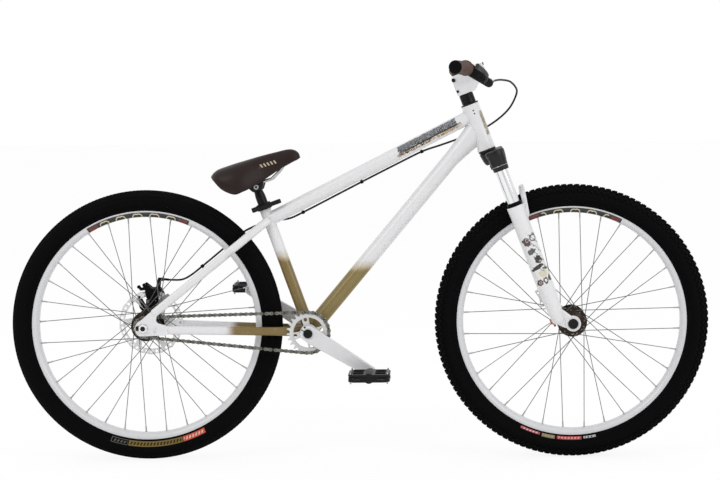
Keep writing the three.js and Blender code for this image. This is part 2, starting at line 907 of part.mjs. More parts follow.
// Window between two arms of a disc: outer and inner arcs, each about the middle angle
function windowPath(middle, outer, wide, inner, narrow) {
  const steps = 4;
  const points = [];
  for (let i = 0; i <= steps; i += 1) {
    const angle = middle - wide + (2 * wide * i) / steps;
    points.push(new THREE.Vector2(outer * Math.cos(angle), outer * Math.sin(angle)));
  }
  for (let i = 0; i <= steps / 2; i += 1) {
    const angle = middle + narrow - (4 * narrow * i) / steps;
    points.push(new THREE.Vector2(inner * Math.cos(angle), inner * Math.sin(angle)));
  }
  return new THREE.Path(points);
}

// Toothed outline: a root, a flank, a tip and a flank for each tooth
function toothedShape(teeth, pitchRadius) {
  const root = pitchRadius - toothRootDepth;
  const tip = pitchRadius + toothHeight;
  const points = [];
  for (let k = 0; k < teeth; k += 1) {
    [[-toothRootShare, root], [-toothTipShare, tip], [toothTipShare, tip], [toothRootShare, root]]
      .forEach(([share, radius]) => {
        const angle = (2 * Math.PI * (k + share)) / teeth;
        points.push([radius * Math.cos(angle), radius * Math.sin(angle)]);
      });
  }
  return outlineShape(points);
}

function chainring() {
  const shape = toothedShape(ringTeeth, ringPitchRadius);
  const outer = ringPitchRadius - toothRootDepth - ringBandWidth;
  const wide = Math.PI / ringArms - ringArmWidth / 2 / outer;
  const narrow = Math.PI / ringArms - ringArmWidth / 2 / ringHubRadius;
  for (let k = 0; k < ringArms; k += 1) {
    const middle = (2 * Math.PI * k) / ringArms;
    shape.holes.push(windowPath(middle, outer, wide, ringHubRadius, narrow));
    const arm = middle + Math.PI / ringArms;
    const hole = new THREE.Path();
    hole.absarc(
      ringHoleCircle * Math.cos(arm),
      ringHoleCircle * Math.sin(arm),
      ringHoleRadius,
      0,
      2 * Math.PI,
      true,
    );
    shape.holes.push(hole);
  }
  const face = -chainLineY - toothThickness / 2;
  const ring = sidePlate(shape, face, face + toothThickness, 0, smallSides / 2);
  return ring.subtract(axleRod(bore(spindleRadius), -shellWidth, 0));
}

function rearDriver() {
  const plate = sidePlate(
    toothedShape(cogTeeth, cogPitchRadius),
    -chainLineY - toothThickness / 2,
    -chainLineY + toothThickness / 2,
  );
  const collar = chainLineY + toothThickness / 2 + cogCollarThickness;
  return join([
    plate,
    axleRod(driverRadius, -chainLineY, -driverInnerY),
    axleRod(cogCollarRadius, -collar, -chainLineY),
    axleRod(axleSpacerRadius, fitGap - rearHubWidth / 2, -chainLineY),
  ]).subtract(axleRod(bore(rearAxleRadius), -rearHubWidth, 0));
}

// Pitch line of the chain as a closed list of points, moved out by an offset
function chainLine(offset) {
  const reach = new THREE.Vector2(crankX - rearAxleX, crankZ - rearTyreRadius);
  const heading = reach.angle();
  const lean = Math.asin((ringPitchRadius - cogPitchRadius) / reach.length());
  const points = [];
  const arc = (x, z, radius, from, to) => {
    for (let i = 0; i <= chainArcSteps; i += 1) {
      const angle = from + ((to - from) * i) / chainArcSteps;
      points.push([x + (radius + offset) * Math.cos(angle), z + (radius + offset) * Math.sin(angle)]);
    }
  };
  const top = heading + Math.PI / 2 + lean;
  const bottom = heading - Math.PI / 2 - lean;
  arc(rearAxleX, rearTyreRadius, cogPitchRadius, top, bottom + 2 * Math.PI);
  arc(crankX, crankZ, ringPitchRadius, bottom, top);
  return points;
}

// Chain: two bands of side plates, held by rollers where no tooth passes between them
function chain() {
  const shape = outlineShape(chainLine(chainHeight / 2));
  shape.holes.push(outlineShape(chainLine(-chainHeight / 2)));
  const inner = chainInnerWidth / 2;
  const outer = inner + chainPlateThickness;
  const bodies = [
    sidePlate(shape, -chainLineY + inner, -chainLineY + outer),
    sidePlate(shape, -chainLineY - outer, -chainLineY - inner),
  ];
  const line = chainLine(0);
  const runs = [[line.at(-1), line[0]], [line[chainArcSteps], line[chainArcSteps + 1]]];
  const spacing = rollerEvery * chainPitch;
  const tipRadius = ringPitchRadius + toothHeight;
  const underRadius = ringPitchRadius - rollerDiameter / 2;
  const clear = Math.sqrt(tipRadius ** 2 - underRadius ** 2) + rollerDiameter / 2;
  runs.forEach(([from, to]) => {
    const start = new THREE.Vector2(...from);
    const way = new THREE.Vector2(...to).sub(start);
    const gaps = Math.floor((way.length() - 2 * clear) / spacing);
    const first = (way.length() - gaps * spacing) / 2;
    const roller = -chainLineY + inner + chainPlateThickness / 2;
    for (let k = 0; k <= gaps; k += 1) {
      const at = start.clone().addScaledVector(way, (first + k * spacing) / way.length());
      bodies.push(axleRod(
        rollerDiameter / 2,
        roller,
        -2 * chainLineY - roller,
        rollerSides,
        at.x,
        at.y,
      ));
    }
  });
  return join(bodies);
}

// Bottom bracket cup: a threaded sleeve in the shell and a flange outside it
function bracketCup() {
  const half = shellWidth / 2;
  const face = half + fitGap;
  return join([
    axleRod(cupRadius, -face - fitGap, -half + cupDepth),
    axleRod(cupFlangeRadius, -face - cupFlangeThickness, -face),
  ]).subtract(axleRod(bore(spindleRadius), -shellWidth, 0));
}

function crankSpindle() {
  const outer = crankInnerY + crankThickness;
  return join([
    axleRod(spindleRadius, -outer - crankBoltHeight, outer + crankBoltHeight),
    axleRod(crankBoltRadius, -outer - crankBoltHeight, -outer - fitGap),
    axleRod(crankBoltRadius, outer + fitGap, outer + crankBoltHeight),
  ]);
}

// Crank arm on the drive side, along +X, with the boss that spaces it from the ring
function crankArm(bossInnerY) {
  const shape = leverShape(crankLength, 0, crankRootWidth / 2, crankTipWidth / 2, smallSides);
  const outer = crankInnerY + crankThickness;
  return join([
    sidePlate(shape, -outer, -crankInnerY, crankBevel),
    axleRod(crankBossRadius, -crankInnerY - crankBevel, -bossInnerY),
  ])
    .subtract(axleRod(bore(spindleRadius), -2 * outer, 0))
    .subtract(axleRod(bore(pedalThreadRadius), -2 * outer, 0, tubeSides, crankLength));
}

// Pedal axle on the drive side, in the pedal's own frame
function pedalAxle() {
  const outer = crankInnerY + crankThickness;
  const collar = outer + fitGap + pedalCollarThickness;
  const end = pedalCentreY + pedalWidth / 2 - pedalEndCap;
  return join([
    axleRod(pedalThreadRadius, -outer - pedalCollarThickness, -crankInnerY),
    axleRod(pedalCollarRadius, -collar, -outer - fitGap),
    axleRod(pedalAxleRadius, -end, -outer),
  ]);
}

// Platform pedal body: a rimmed plate with two windows, a barrel and pins
function pedalBody() {
  const inner = pedalCentreY - pedalWidth / 2;
  const outer = pedalCentreY + pedalWidth / 2;
  const half = pedalLength / 2;
  const chamfer = pedalRail;
  const outline = outlineShape([
    [-half, inner + chamfer], [-half + chamfer, inner], [half - chamfer, inner], [half, inner + chamfer],
    [half, outer - chamfer], [half - chamfer, outer], [-half + chamfer, outer], [-half, outer - chamfer],
  ].map(([x, y]) => [x, -y]));
  const bodies = [
    topPlate(outline, -pedalThickness / 2, pedalThickness / 2),
    axleRod(pedalBarrelRadius, -outer, -inner, smallSides),
  ];
  const pinTop = pedalThickness / 2 + pinHeight;
  pinPlaceShares.forEach(([along, across]) => {
    [-1, 1].forEach((end) => {
      const x = end * along * half;
      const y = -pedalCentreY + (across * pedalWidth) / 2;
      bodies.push(post(pinRadius, -pinTop, pinTop, pinSides, x, y));
    });
  });
  let body = join(bodies);
  [-1, 1].forEach((end) => {
    const near = end * (pedalBarrelRadius + fitGap);
    const far = end * (half - pedalRail);
    body = body.subtract(block(
      Math.min(near, far), Math.max(near, far),
      -outer + pedalRail, -inner - pedalRail,
      -pedalThickness, pedalThickness,
    ));
  });
  return body.subtract(axleRod(bore(pedalAxleRadius), -outer + pedalEndCap - fitGap, 0));
}

// Frame: places of its joints in the side view
function alongSeatTube(length) {
  return [crankX - length * Math.sin(seatLean), 0, crankZ + length * Math.cos(seatLean)];
}

function alongHead(height) {
  return [headX - height * Math.sin(headLean), 0, headZ + height * Math.cos(headLean)];
}

function downTube() {
  const start = new THREE.Vector3(crankX, 0, crankZ);
  const end = new THREE.Vector3(...alongHead(downTubeHeadHeight));
  const stations = downTubeFlareShares.map((share, i) => {
    const growth = downTubeFlareGrowthShares[i];
    return {
      at: start.clone().lerp(end, share).toArray(),
      above: downTubeRadius + growth * (downTubeFlare - downTubeRadius) / 4,
      below: downTubeRadius + growth * (downTubeFlare - downTubeRadius),
      halfWidth: downTubeRadius,
    };
  });
  return ovalTube(stations, tubeSides);
}

function chainstay() {
  const footX = rearAxleX + chainstayFootX;
  const footZ = rearTyreRadius - chainstayFootDrop;
  const tyreX = rearAxleX + rearTyreRadius;
  const level = (x) => crankZ + ((footZ - crankZ) * (crankX - x)) / (crankX - footX);
  const growth = (x) => Math.max((x - tyreX) / (crankX - tyreX), 0);
  const tall = (x) => chainstayHalfHeight + growth(x) * (chainstayRootHalfHeight - chainstayHalfHeight);
  const crankReach = crankX - crankLength - crankTipWidth / 2;
  const places = [
    [crankX, chainstayRootY],
    [tyreX + chainstayHalfHeight, chainstayNarrowY],
    [tyreX - crankRootWidth, chainstayTyreY],
    [crankReach, chainstayCrankY],
    [(crankReach + footX) / 2, chainstayRearY],
    [footX, dropoutInnerY + fitGap],
  ];
  return ovalTube(places.map(([x, y]) => ({
    at: [x, -y, level(x)],
    above: tall(x),
    halfWidth: chainstayHalfWidth,
  })), staySides);
}

// Places along a seatstay's length, from the dropout to the seat tube
const seatstayFoot = [rearAxleX + seatstayFootX, rearTyreRadius + seatstayFootZ];
const seatstayTop = alongSeatTube(seatTubeLength - topTubeSeatDrop);
function alongSeatstay(share, y) {
  return [
    seatstayFoot[0] + share * (seatstayTop[0] - seatstayFoot[0]),
    y,
    seatstayFoot[1] + share * (seatstayTop[2] - seatstayFoot[1]),
  ];
}
const seatstayLength = Math.hypot(seatstayTop[0] - seatstayFoot[0], seatstayTop[2] - seatstayFoot[1]);
const tyreCrossShare = (rearTyreRadius - seatstayTyreDrop) / seatstayLength;

function seatstay() {
  const discShare = discRadius / seatstayLength;
  return ovalTube([
    { share: 0, y: dropoutInnerY + fitGap },
    { share: discShare, y: seatstayDiscY },
    { share: tyreCrossShare, y: seatstayTyreY },
    { share: 1, y: seatstayTopY },
  ].map(({ share, y }) => ({
    at: alongSeatstay(share, -y),
    above: seatstayHalfHeight,
    halfWidth: seatstayHalfWidth,
  })), staySides);
}

function dropout() {
  const points = dropoutShares.map(([along, up]) => [
    rearAxleX + along * (along < 0 ? dropoutRear : dropoutFront),
    rearTyreRadius + up * (up < 0 ? dropoutBelow : dropoutTop),
  ]);
  const plate = sidePlate(outlineShape(points), -dropoutInnerY - dropoutThickness, -dropoutInnerY);
  const slot = bore(rearAxleRadius);
  const outside = -2 * dropoutInnerY;
  return plate
    .subtract(axleRod(slot, outside, 0, tubeSides, rearAxleX, rearTyreRadius))
    .subtract(axleRod(slot, outside, 0, tubeSides, rearAxleX - axleSlotLength, rearTyreRadius))
    .subtract(block(rearAxleX - axleSlotLength, rearAxleX, outside, 0,
      rearTyreRadius - slot, rearTyreRadius + slot));
}

function frame() {
  // The hollow that the rear wheel and its disc turn in is cut from the stays' ends
  const side = join([chainstay(), seatstay()])
    .subtract(block(rearAxleX - dropoutFront, rearAxleX + dropoutFront / 3,
      -dropoutInnerY, 0, 0, 2 * rearTyreRadius));
  const half = join([side, dropout()]);
  const stayBridgeX = rearAxleX + rearTyreRadius + bridgeTyreGap + bridgeRadius;
  const upperShare = (rearTyreRadius - bridgeTyreGap) / seatstayLength;
  const upper = alongSeatstay(upperShare, 0);
  const seatTop = alongSeatTube(seatTubeLength);
  const hollow = alongSeatTube(seatTubeLength - seatBoreDepth);
  const seatEnd = alongSeatTube(seatTubeLength + cutOverrun);
  const whole = join([
    carried(post(headTubeRadius, 0, headTubeLength), steering),
    rod(alongSeatTube(seatTubeLength - topTubeSeatDrop),
      alongHead(headTubeLength - topTubeHeadDrop), topTubeRadius),
    downTube(),
    rod(alongSeatTube(0), seatTop, seatTubeRadius),
    axleRod(shellRadius, -shellWidth / 2, shellWidth / 2, tubeSides, crankX, crankZ),
    half,
    mirrored(half),
    axleRod(bridgeRadius, -chainstayNarrowY, chainstayNarrowY, staySides, stayBridgeX, crankZ),
    axleRod(bridgeRadius, -seatstayTyreY / 2, seatstayTyreY / 2, staySides, upper[0], upper[2]),
  ]);
  return whole
    .subtract(carried(post(headBoreRadius / Math.cos(Math.PI / tubeSides), -cutOverrun,
      headTubeLength + cutOverrun), steering))
    .subtract(rod(hollow, seatEnd, bore(postRadius)))
    .subtract(axleRod(bore(cupRadius), -shellWidth, shellWidth, tubeSides, crankX, crankZ));
}

// Rear axle and its nuts
function rearAxleRod() {
  const end = dropoutInnerY + dropoutThickness + axleNutThickness;
  return axleRod(rearAxleRadius, -end, end);
}

function rearAxleNut() {
  const face = dropoutInnerY + dropoutThickness + fitGap;
  return axleRod(axleNutRadius, -face - axleNutThickness, -face, axleNutSides)
    .subtract(axleRod(bore(rearAxleRadius), -2 * face, 0));
}

// Headset cups in the head tube's ends
function lowerCup() {
  return join([
    post(headsetRadius, -lowerCupFlange, -fitGap),
    post(headBoreRadius - fitGap, -lowerCupFlange, headsetInsert),
  ]).subtract(post(bore(steererRadius), -headTubeLength, headTubeLength));
}

function upperCup() {
  return join([
    post(headsetRadius, headTubeLength + fitGap, headTubeLength + upperCupFlange),
    post(headBoreRadius - fitGap, headTubeLength - headsetInsert, headTubeLength + upperCupFlange),
  ]).subtract(post(bore(steererRadius), 0, 2 * headTubeLength));
}

function headsetSpacer() {
  return post(spacerRadius, spacerBottom, spacerBottom + spacerHeight)
    .subtract(post(bore(steererRadius), 0, 2 * headTubeLength));
}

function stem() {
  const half = stemWidth / 2;
  const top = stemBottom + stemHeight;
  const outline = outlineShape([
    [-stemRearOverhang, stemBottom], [stemRearOverhang, stemBottom],
    [stemReach, clampHeight - stemClampRadius], [stemReach, clampHeight + stemClampRadius],
    [stemRearOverhang, top], [-stemRearOverhang + stemBevel, top],
  ]);
  const bolts = [stemBottom + stemBoltRise, top - stemBoltRise];
  let body = join([
    sidePlate(outline, -half, half, stemBevel),
    axleRod(stemClampRadius, -half - stemBevel, half + stemBevel, tubeSides, stemReach, clampHeight),
  ])
    .subtract(post(bore(steererRadius), 0, 2 * top))
    .subtract(axleRod(bore(barClampRadius), -stemWidth, stemWidth, tubeSides, stemReach, clampHeight));
  bolts.forEach((height) => {
    const x = -stemRearOverhang + stemBoltRadius + stemBevel;
    const cut = axleRod(stemBoltRadius, -stemWidth, -half + stemBevel, boltSides, x, height);
    body = body.subtract(cut);
  });
  return body;
}

function stemTopCap() {
  const bottom = stemBottom + stemHeight + fitGap;
  return post(topCapRadius, bottom, bottom + topCapThickness);
}

// Handlebar, in the cockpit's frame: its clamp centre is the origin
function barPoint(y) {
  const out = Math.abs(y) - barBendY;
  const x = -barBendBack - out * Math.tan(radians(barSweepAngle));
  const z = barRise + out * Math.tan(radians(barUpsweepAngle));
  return [x, y, z];
}

function handlebar() {
  const end = barHalfWidth - plugThickness - fitGap;
  const points = [
    barPoint(-end), barPoint(-barBendY), [0, -barClampHalfWidth, 0],
    [0, barClampHalfWidth, 0], barPoint(barBendY), barPoint(end),
  ];
  return join([
    bentRod(points, barRadius, barSides, new THREE.Vector3(1, 0, 0)),
    axleRod(barClampRadius, -barClampHalfWidth, barClampHalfWidth),
  ]);
}

// Grip on the drive side, along the bar's straight end
function grip() {
  const end = barHalfWidth - plugThickness - fitGap;
  const flangeEnd = gripInnerY + gripFlangeThickness;
  return join([
    rod(barPoint(-gripInnerY), barPoint(-end), gripRadius),
    rod(barPoint(-gripInnerY), barPoint(-flangeEnd), gripFlangeRadius),
  ]).subtract(rod(barPoint(-barBendY), barPoint(-2 * end), bore(barRadius)));
}

function barPlug() {
  return rod(barPoint(plugThickness - barHalfWidth), barPoint(-barHalfWidth), plugRadius);
}

// Brake lever, in its own frame: the origin is on the bar's axis, +X runs along its arm
const leverCentre = barPoint(-leverY);
const lever = groupAt(cockpit, ...leverCentre, radians(leverDropAngle));

function leverBracket() {
  const half = leverThickness / 2;
  const arm = sidePlate(
    leverShape(leverArmReach, -leverArmDrop, leverClampRadius, leverArmRadius),
    -half,
    half,
    leverBevel,
  );
  const earTop = leverTabThickness / 2 + leverEarThickness;
  const pivotZ = -bladePivotDrop;
  const ear = new THREE.Shape();
  ear.moveTo(leverPivotReach - leverEyeRadius, -half + leverEarThickness);
  ear.lineTo(leverPivotReach - leverEyeRadius, -half - leverPivotOut);
  ear.absarc(leverPivotReach, -half - leverPivotOut, leverEyeRadius, Math.PI, 2 * Math.PI);
  ear.lineTo(leverPivotReach + leverEyeRadius, -half + leverEarThickness);
  const slot = leverTabThickness / 2 + fitGap;
  const ears = [
    topPlate(ear, pivotZ + slot, pivotZ + slot + leverEarThickness),
    topPlate(ear, pivotZ - slot - leverEarThickness, pivotZ - slot),
  ];
  const pin = post(leverPinRadius, pivotZ - earTop, pivotZ + earTop, smallSides,
    leverPivotReach, -half - leverPivotOut);
  const barrel = axleRod(adjusterRadius, half - 2 * leverBevel, half + adjusterLength, smallSides,
    leverArmReach, -leverArmDrop / 2);
  const holeFrom = carried(
    rod(barPoint(-barBendY), barPoint(-barHalfWidth), bore(barRadius)),
    cockpit,
    lever,
  );
  return join([arm, ...ears, pin, barrel]).subtract(holeFrom);
}

function leverBlade() {
  const half = leverThickness / 2;
  const eyeY = -half - leverPivotOut;
  const pivotZ = -bladePivotDrop;
  const centres = bladeShares.map(([out, back, up]) => new THREE.Vector3(
    leverPivotReach - back * bladeSweep,
    eyeY - bladeRootOut - out * bladeLength,
    pivotZ + up * bladeRise,
  ));
  const blade = loft(centres.map((centre, i) => {
    const before = centres[Math.max(i - 1, 0)];
    const after = centres[Math.min(i + 1, centres.length - 1)];
    const facing = after.clone().sub(before).normalize();
    const across = new THREE.Vector3(0, 0, 1);
    across.addScaledVector(facing, -across.dot(facing)).normalize();
    const thick = facing.clone().cross(across);
    const ring = [];
    const tall = bladeShares[i][2] === 0 ? leverTabThickness / 2 : bladeHalfHeight;
    for (let k = 0; k < bladeSides; k += 1) {
      const angle = (2 * Math.PI * (k + 0.5)) / bladeSides;
      ring.push(centre.clone()
        .addScaledVector(across, tall * Math.sin(angle))
        .addScaledVector(thick, bladeHalfThickness * Math.cos(angle)));
    }
    return ring;
  }));
  const eye = post(leverEyeRadius, pivotZ - leverTabThickness / 2, pivotZ + leverTabThickness / 2,
    smallSides, leverPivotReach, eyeY);
  const hole = post(bore(leverPinRadius, smallSides), pivotZ - leverArmReach, pivotZ + leverArmReach,
    smallSides, leverPivotReach, eyeY);
  return join([blade, eye]).subtract(hole);
}

// Fork crown with its steerer, in the steering frame
function crown() {
  const bottom = -crownTopDrop - crownDepth;
  const archTop = bottom + crownArchHeight;
  const outer = legY + crownSocketRadius - crownBevel;
  const front = new THREE.Shape();
  front.moveTo(-outer, -2 * crownTopDrop);
  front.lineTo(-outer, archTop);
  front.lineTo(-crownArchHalfWidth, archTop);
  front.lineTo(crownArchHalfWidth, archTop);
  front.lineTo(outer, archTop);
  front.lineTo(outer, -2 * crownTopDrop);
  front.quadraticCurveTo(outer / 2, -crownTopDrop, headsetRadius, -crownTopDrop);
  front.lineTo(-headsetRadius, -crownTopDrop);
  front.quadraticCurveTo(-outer / 2, -crownTopDrop, -outer, -2 * crownTopDrop);
  const rear = legOffset - crownBeamDepth / 2;
  const steererTop = stemBottom + stemHeight - stemBevel;
  const bodies = [
    frontPlate(front, rear, rear + crownBeamDepth, crownBevel),
    post(headsetRadius, archTop, -crownTopDrop),
    post(steererRadius, archTop, steererTop),
  ];
  [-1, 1].forEach((side) => {
    bodies.push(rod([legOffset, side * legY, bottom], [legOffset, side * legY, -crownTopDrop],
      crownSocketRadius, tubeSides, crownShoulderRadius));
  });
  let body = join(bodies).subtract(post(steererBore, bottom, 2 * steererTop));
  [-1, 1].forEach((side) => {
    body = body.subtract(post(bore(stanchionRadius), 2 * bottom, headTubeLength, tubeSides,
      legOffset, side * legY));
  });
  return body;
}

// Stanchion on the drive side: a tube open below, closed by its top cap
function stanchion() {
  const top = -2 * crownTopDrop;
  const crownBottom = -crownTopDrop - crownDepth;
  const bottom = crownBottom - stanchionExposed - stanchionOverlap;
  return post(stanchionRadius, bottom, top, tubeSides, legOffset, -legY)
    .subtract(post(stanchionBore, bottom - cutOverrun, top - stanchionCapThickness, smallSides,
      legOffset, -legY));
}

function forkSeal() {
  return post(sealRadius, legTop + fitGap, sealTop, tubeSides, legOffset, -legY)
    .subtract(post(bore(stanchionRadius), 2 * sealTop, 0, tubeSides, legOffset, -legY));
}

// Front arch over the tyre, drawn in the front view
function forkArch() {
  const top = archInnerTop + archTopThickness;
  const foot = legTop - archFootHeight;
  const arch = new THREE.Shape();
  arch.moveTo(-archHalfWidth, foot);
  arch.lineTo(-archWindowHalfWidth, foot);
  arch.quadraticCurveTo(-archWindowHalfWidth, archInnerTop, -archWindowHalfWidth / 3, archInnerTop);
  arch.lineTo(archWindowHalfWidth / 3, archInnerTop);
  arch.quadraticCurveTo(archWindowHalfWidth, archInnerTop, archWindowHalfWidth, foot);
  arch.lineTo(archHalfWidth, foot);
  arch.quadraticCurveTo(archHalfWidth, top, archWindowHalfWidth / 3, top);
  arch.lineTo(-archWindowHalfWidth / 3, top);
  arch.quadraticCurveTo(-archHalfWidth, top, -archHalfWidth, foot);
  const rear = legOffset + archRearOffset;
  const link = block(
    legOffset, rear,
    archWindowHalfWidth + fitGap, archHalfWidth - fitGap,
    foot, legTop,
  );
  // Its feet lean back to the legs
  const hoop = frontPlate(arch, rear, rear + archDepth, crownBevel)
    .translate([-rear, 0, -top])
    .rotate([0, archTilt, 0])
    .translate([rear, 0, top]);
  return join([hoop, link, mirrored(link)]);
}

// Lower leg on the drive side, down to the boss that holds the axle
function forkLeg() {
  const foot = -forkLength + legFootGap;
  const taperTop = foot + legTaperLength;
  const tube = join([
    post(legRadius, taperTop, legTop, tubeSides, legOffset, -legY),
    rod([legOffset, -legY, foot], [legOffset, -legY, taperTop], legTipRadius, tubeSides, legRadius),
  ]);
  const neckTop = foot + neckStartRise;
  const neck = leverShape(
    forkRake - legOffset,
    -forkLength - neckTop,
    dropoutBossRadius - crownBevel,
    dropoutBossRadius - crownBevel,
  );
  const reach = sidePlate(neck, -forkDropoutOuterY + crownBevel, -forkDropoutInnerY - crownBevel)
    .translate([legOffset, 0, neckTop]);
  return join([
    tube,
    reach,
    axleRod(dropoutBossRadius, -forkDropoutOuterY, -forkDropoutInnerY, tubeSides, forkRake, -forkLength),
  ]);
}

function forkLowers() {
  const leg = forkLeg();
  const tabBottom = -forkLength + legFootGap + tabLift;
  const tab = block(
    legOffset - legRadius - tabReach, legOffset,
    legY - tabThickness / 2, legY + tabThickness / 2,
    tabBottom, tabBottom + tabLength,
  );
  const foot = -forkLength + legFootGap;
  const well = post(bore(stanchionRadius), foot + legFloor, 0, tubeSides, legOffset, -legY);
  const knobWell = post(bore(knobStemRadius, smallSides), -2 * forkLength, foot + knobWellDepth,
    smallSides, legOffset - knobSetback, legY);
  return join([leg, mirrored(leg), forkArch(), tab])
    .subtract(join([well, mirrored(well), knobWell]))
    .subtract(axleRod(bore(frontAxleRadius), -2 * forkDropoutOuterY, 2 * forkDropoutOuterY, tubeSides,
      forkRake, -forkLength));
}

function frontAxle() {
  const end = forkDropoutOuterY + fitGap;
  return join([
    axleRod(frontAxleRadius, -end - frontCapThickness, forkDropoutOuterY),
    axleRod(frontCapRadius, -end - frontCapThickness, -end),
  ]);
}

function reboundKnob() {
  const x = legOffset - knobSetback;
  const foot = -forkLength + legFootGap;
  const top = foot - knobStemLength;
  return join([
    post(knobRadius, top - knobHeight, top, smallSides, x, legY),
    post(knobStemRadius, top - knobHeight - knobNubLength, foot + knobWellDepth - fitGap, smallSides,
      x, legY),
  ]);
}

// Seat clamp collar, in the seat frame: its underside is at z = 0
function seatCollar() {
  const tube = post(bore(seatTubeRadius), -collarHeight, collarHeight - collarOverhang + fitGap);
  const hole = post(bore(postRadius), -collarHeight, 2 * collarHeight);
  const slit = block(-2 * collarEarReach, 0, -collarSlit / 2, collarSlit / 2,
    -collarHeight, 2 * collarHeight);
  return join([
    post(collarRadius, 0, collarHeight),
    block(-collarEarReach, 0, -collarEarHalfWidth, collarEarHalfWidth, collarOverhang,
      collarHeight - collarOverhang),
  ]).subtract(tube).subtract(hole).subtract(slit);
}

// Quick-release lever: a cam behind the collar and a handle along its drive side
function seatLever() {
  const height = (collarHeight - seatLeverHeight) / 2;
  const inner = seatLeverOuterY - seatLeverThickness;
  const handle = outlineShape([
    [-seatLeverPivotReach - seatLeverCamRadius, -seatLeverPivotY],
    [-seatLeverPivotReach, -seatLeverOuterY + seatLeverCamRadius / 2],
    [-seatLeverPivotReach / 2, -seatLeverOuterY], [seatLeverEnd - collarRadius, -seatLeverOuterY],
    [seatLeverEnd, -seatLeverOuterY + seatLeverThickness / 3], [seatLeverEnd, -inner],
    [seatLeverPivotReach / 2, -inner], [-seatLeverPivotReach / 3, -inner],
    [-seatLeverPivotReach + seatLeverCamRadius, -seatLeverPivotY],
  ]);
  const cam = post(seatLeverCamRadius, height, height + seatLeverHeight, smallSides,
    -seatLeverPivotReach, -seatLeverPivotY);
  return join([topPlate(handle, height, height + seatLeverHeight), cam]);
}

// Seat post with the head that the saddle's cradle tilts on
function seatPost() {
  const tubeTop = collarHeight + postRise;
  const pivotX = cradlePivotForward;
  const pivotZ = cradlePivotRise + collarHeight - collarOverhang;
  const half = cradleHeadHalfWidth;
  const pinHole = bore(cradlePinRadius, smallSides);
  return join([
    post(postRadius, -postDepth, tubeTop - cradleHeadRadius),
    rod([0, 0, tubeTop - 2 * cradleHeadRadius], [pivotX, 0, pivotZ], postRadius, tubeSides,
      cradleHeadRadius),
    axleRod(cradleHeadRadius, -half, half, tubeSides, pivotX, pivotZ),
  ]).subtract(axleRod(pinHole, -postDepth, postDepth, smallSides, pivotX, pivotZ));
}

// Cradle, in the saddle's frame: side cheeks on a pin, with grooves that grip the rails
function saddleCradle() {
  const cheekInner = cradleHeadHalfWidth + fitGap;
  const top = railRise + railRadius + cradleWall;
  const shape = outlineShape([
    [-cradleHalfLength, railRise - cradleWall], [-cradleHeadRadius, -cradleHeight],
    [cradleHeadRadius, -cradleHeight], [cradleHalfLength, railRise - cradleWall],
    [cradleHalfLength, top], [-cradleHalfLength, top],
  ]);
  const cheek = sidePlate(shape, -cradleHalfWidth, -cheekInner);
  const roof = block(-cradleHalfLength + cradleWall, cradleHalfLength - cradleWall,
    -cheekInner - cradlePinEnd, cheekInner + cradlePinEnd, cradleHeadRadius + cradleGap, top);
  const pinEnd = cradleHalfWidth + cradlePinEnd;
  const pin = axleRod(cradlePinRadius, -pinEnd, pinEnd, smallSides);
  let body = join([cheek, mirrored(cheek), roof, pin]);
  [-1, 1].forEach((side) => {
    const groove = rod(
      [-2 * cradleHalfLength, side * railHalfGap, railRise],
      [2 * cradleHalfLength, side * railHalfGap, railRise],
      bore(railRadius, railSides),
      railSides,
    );
    body = body.subtract(groove);
  });
  return body;
}

function saddleRails() {
  const left = [
    ...railRearShares.map(([along, across, up]) => [
      -railStraightHalf - along * (railRear - railStraightHalf),
      railHalfGap + across * (railRearHalfGap - railHalfGap),
      railRise + up * (railRearRise - railRise),
    ]),
    ...railFrontShares.map(([along, across, up]) => [
      railStraightHalf + along * (railFront - railStraightHalf),
      railHalfGap - across * railHalfGap,
      railRise + up * (railFrontRise - railRise),
    ]),
  ];
  const right = left.slice(0, -1).map(([x, y, z]) => [x, -y, z]);
  const route = [...right, left.at(-1), ...left.slice(0, -1).reverse()];
  return bentRod(route, railRadius, railSides, new THREE.Vector3(0, 0, 1));
}

// Saddle cover: crowned on top, with deep sides that draw in below, hollow underneath
function saddleCover() {
  return loft(saddleSectionShares.map(([along, wide, top, skirt, hollow]) => {
    const x = -saddleRear + along * saddleLength;
    const halfWidth = wide * saddleHalfWidth;
    const topZ = top * saddleHeight;
    const skirtZ = skirt * saddleHeight;
    const rise = topZ - skirtZ;
    const right = saddleCrownShares.map(([out, up]) => [-out * halfWidth, skirtZ + up * rise]);
    const left = right.slice(0, -1).reverse().map(([y, z]) => [-y, z]);
    const roof = skirtZ + hollow * Math.max(rise - saddlePadThickness, 0);
    const inner = halfWidth * saddleCrownShares[0][0] - saddleSkirtWall;
    const under = [[inner, skirtZ], [inner, roof], [-inner, roof], [-inner, skirtZ]];
    return [...right, ...left, ...under].map(([y, z]) => new THREE.Vector3(x, y, z));
  }));
}

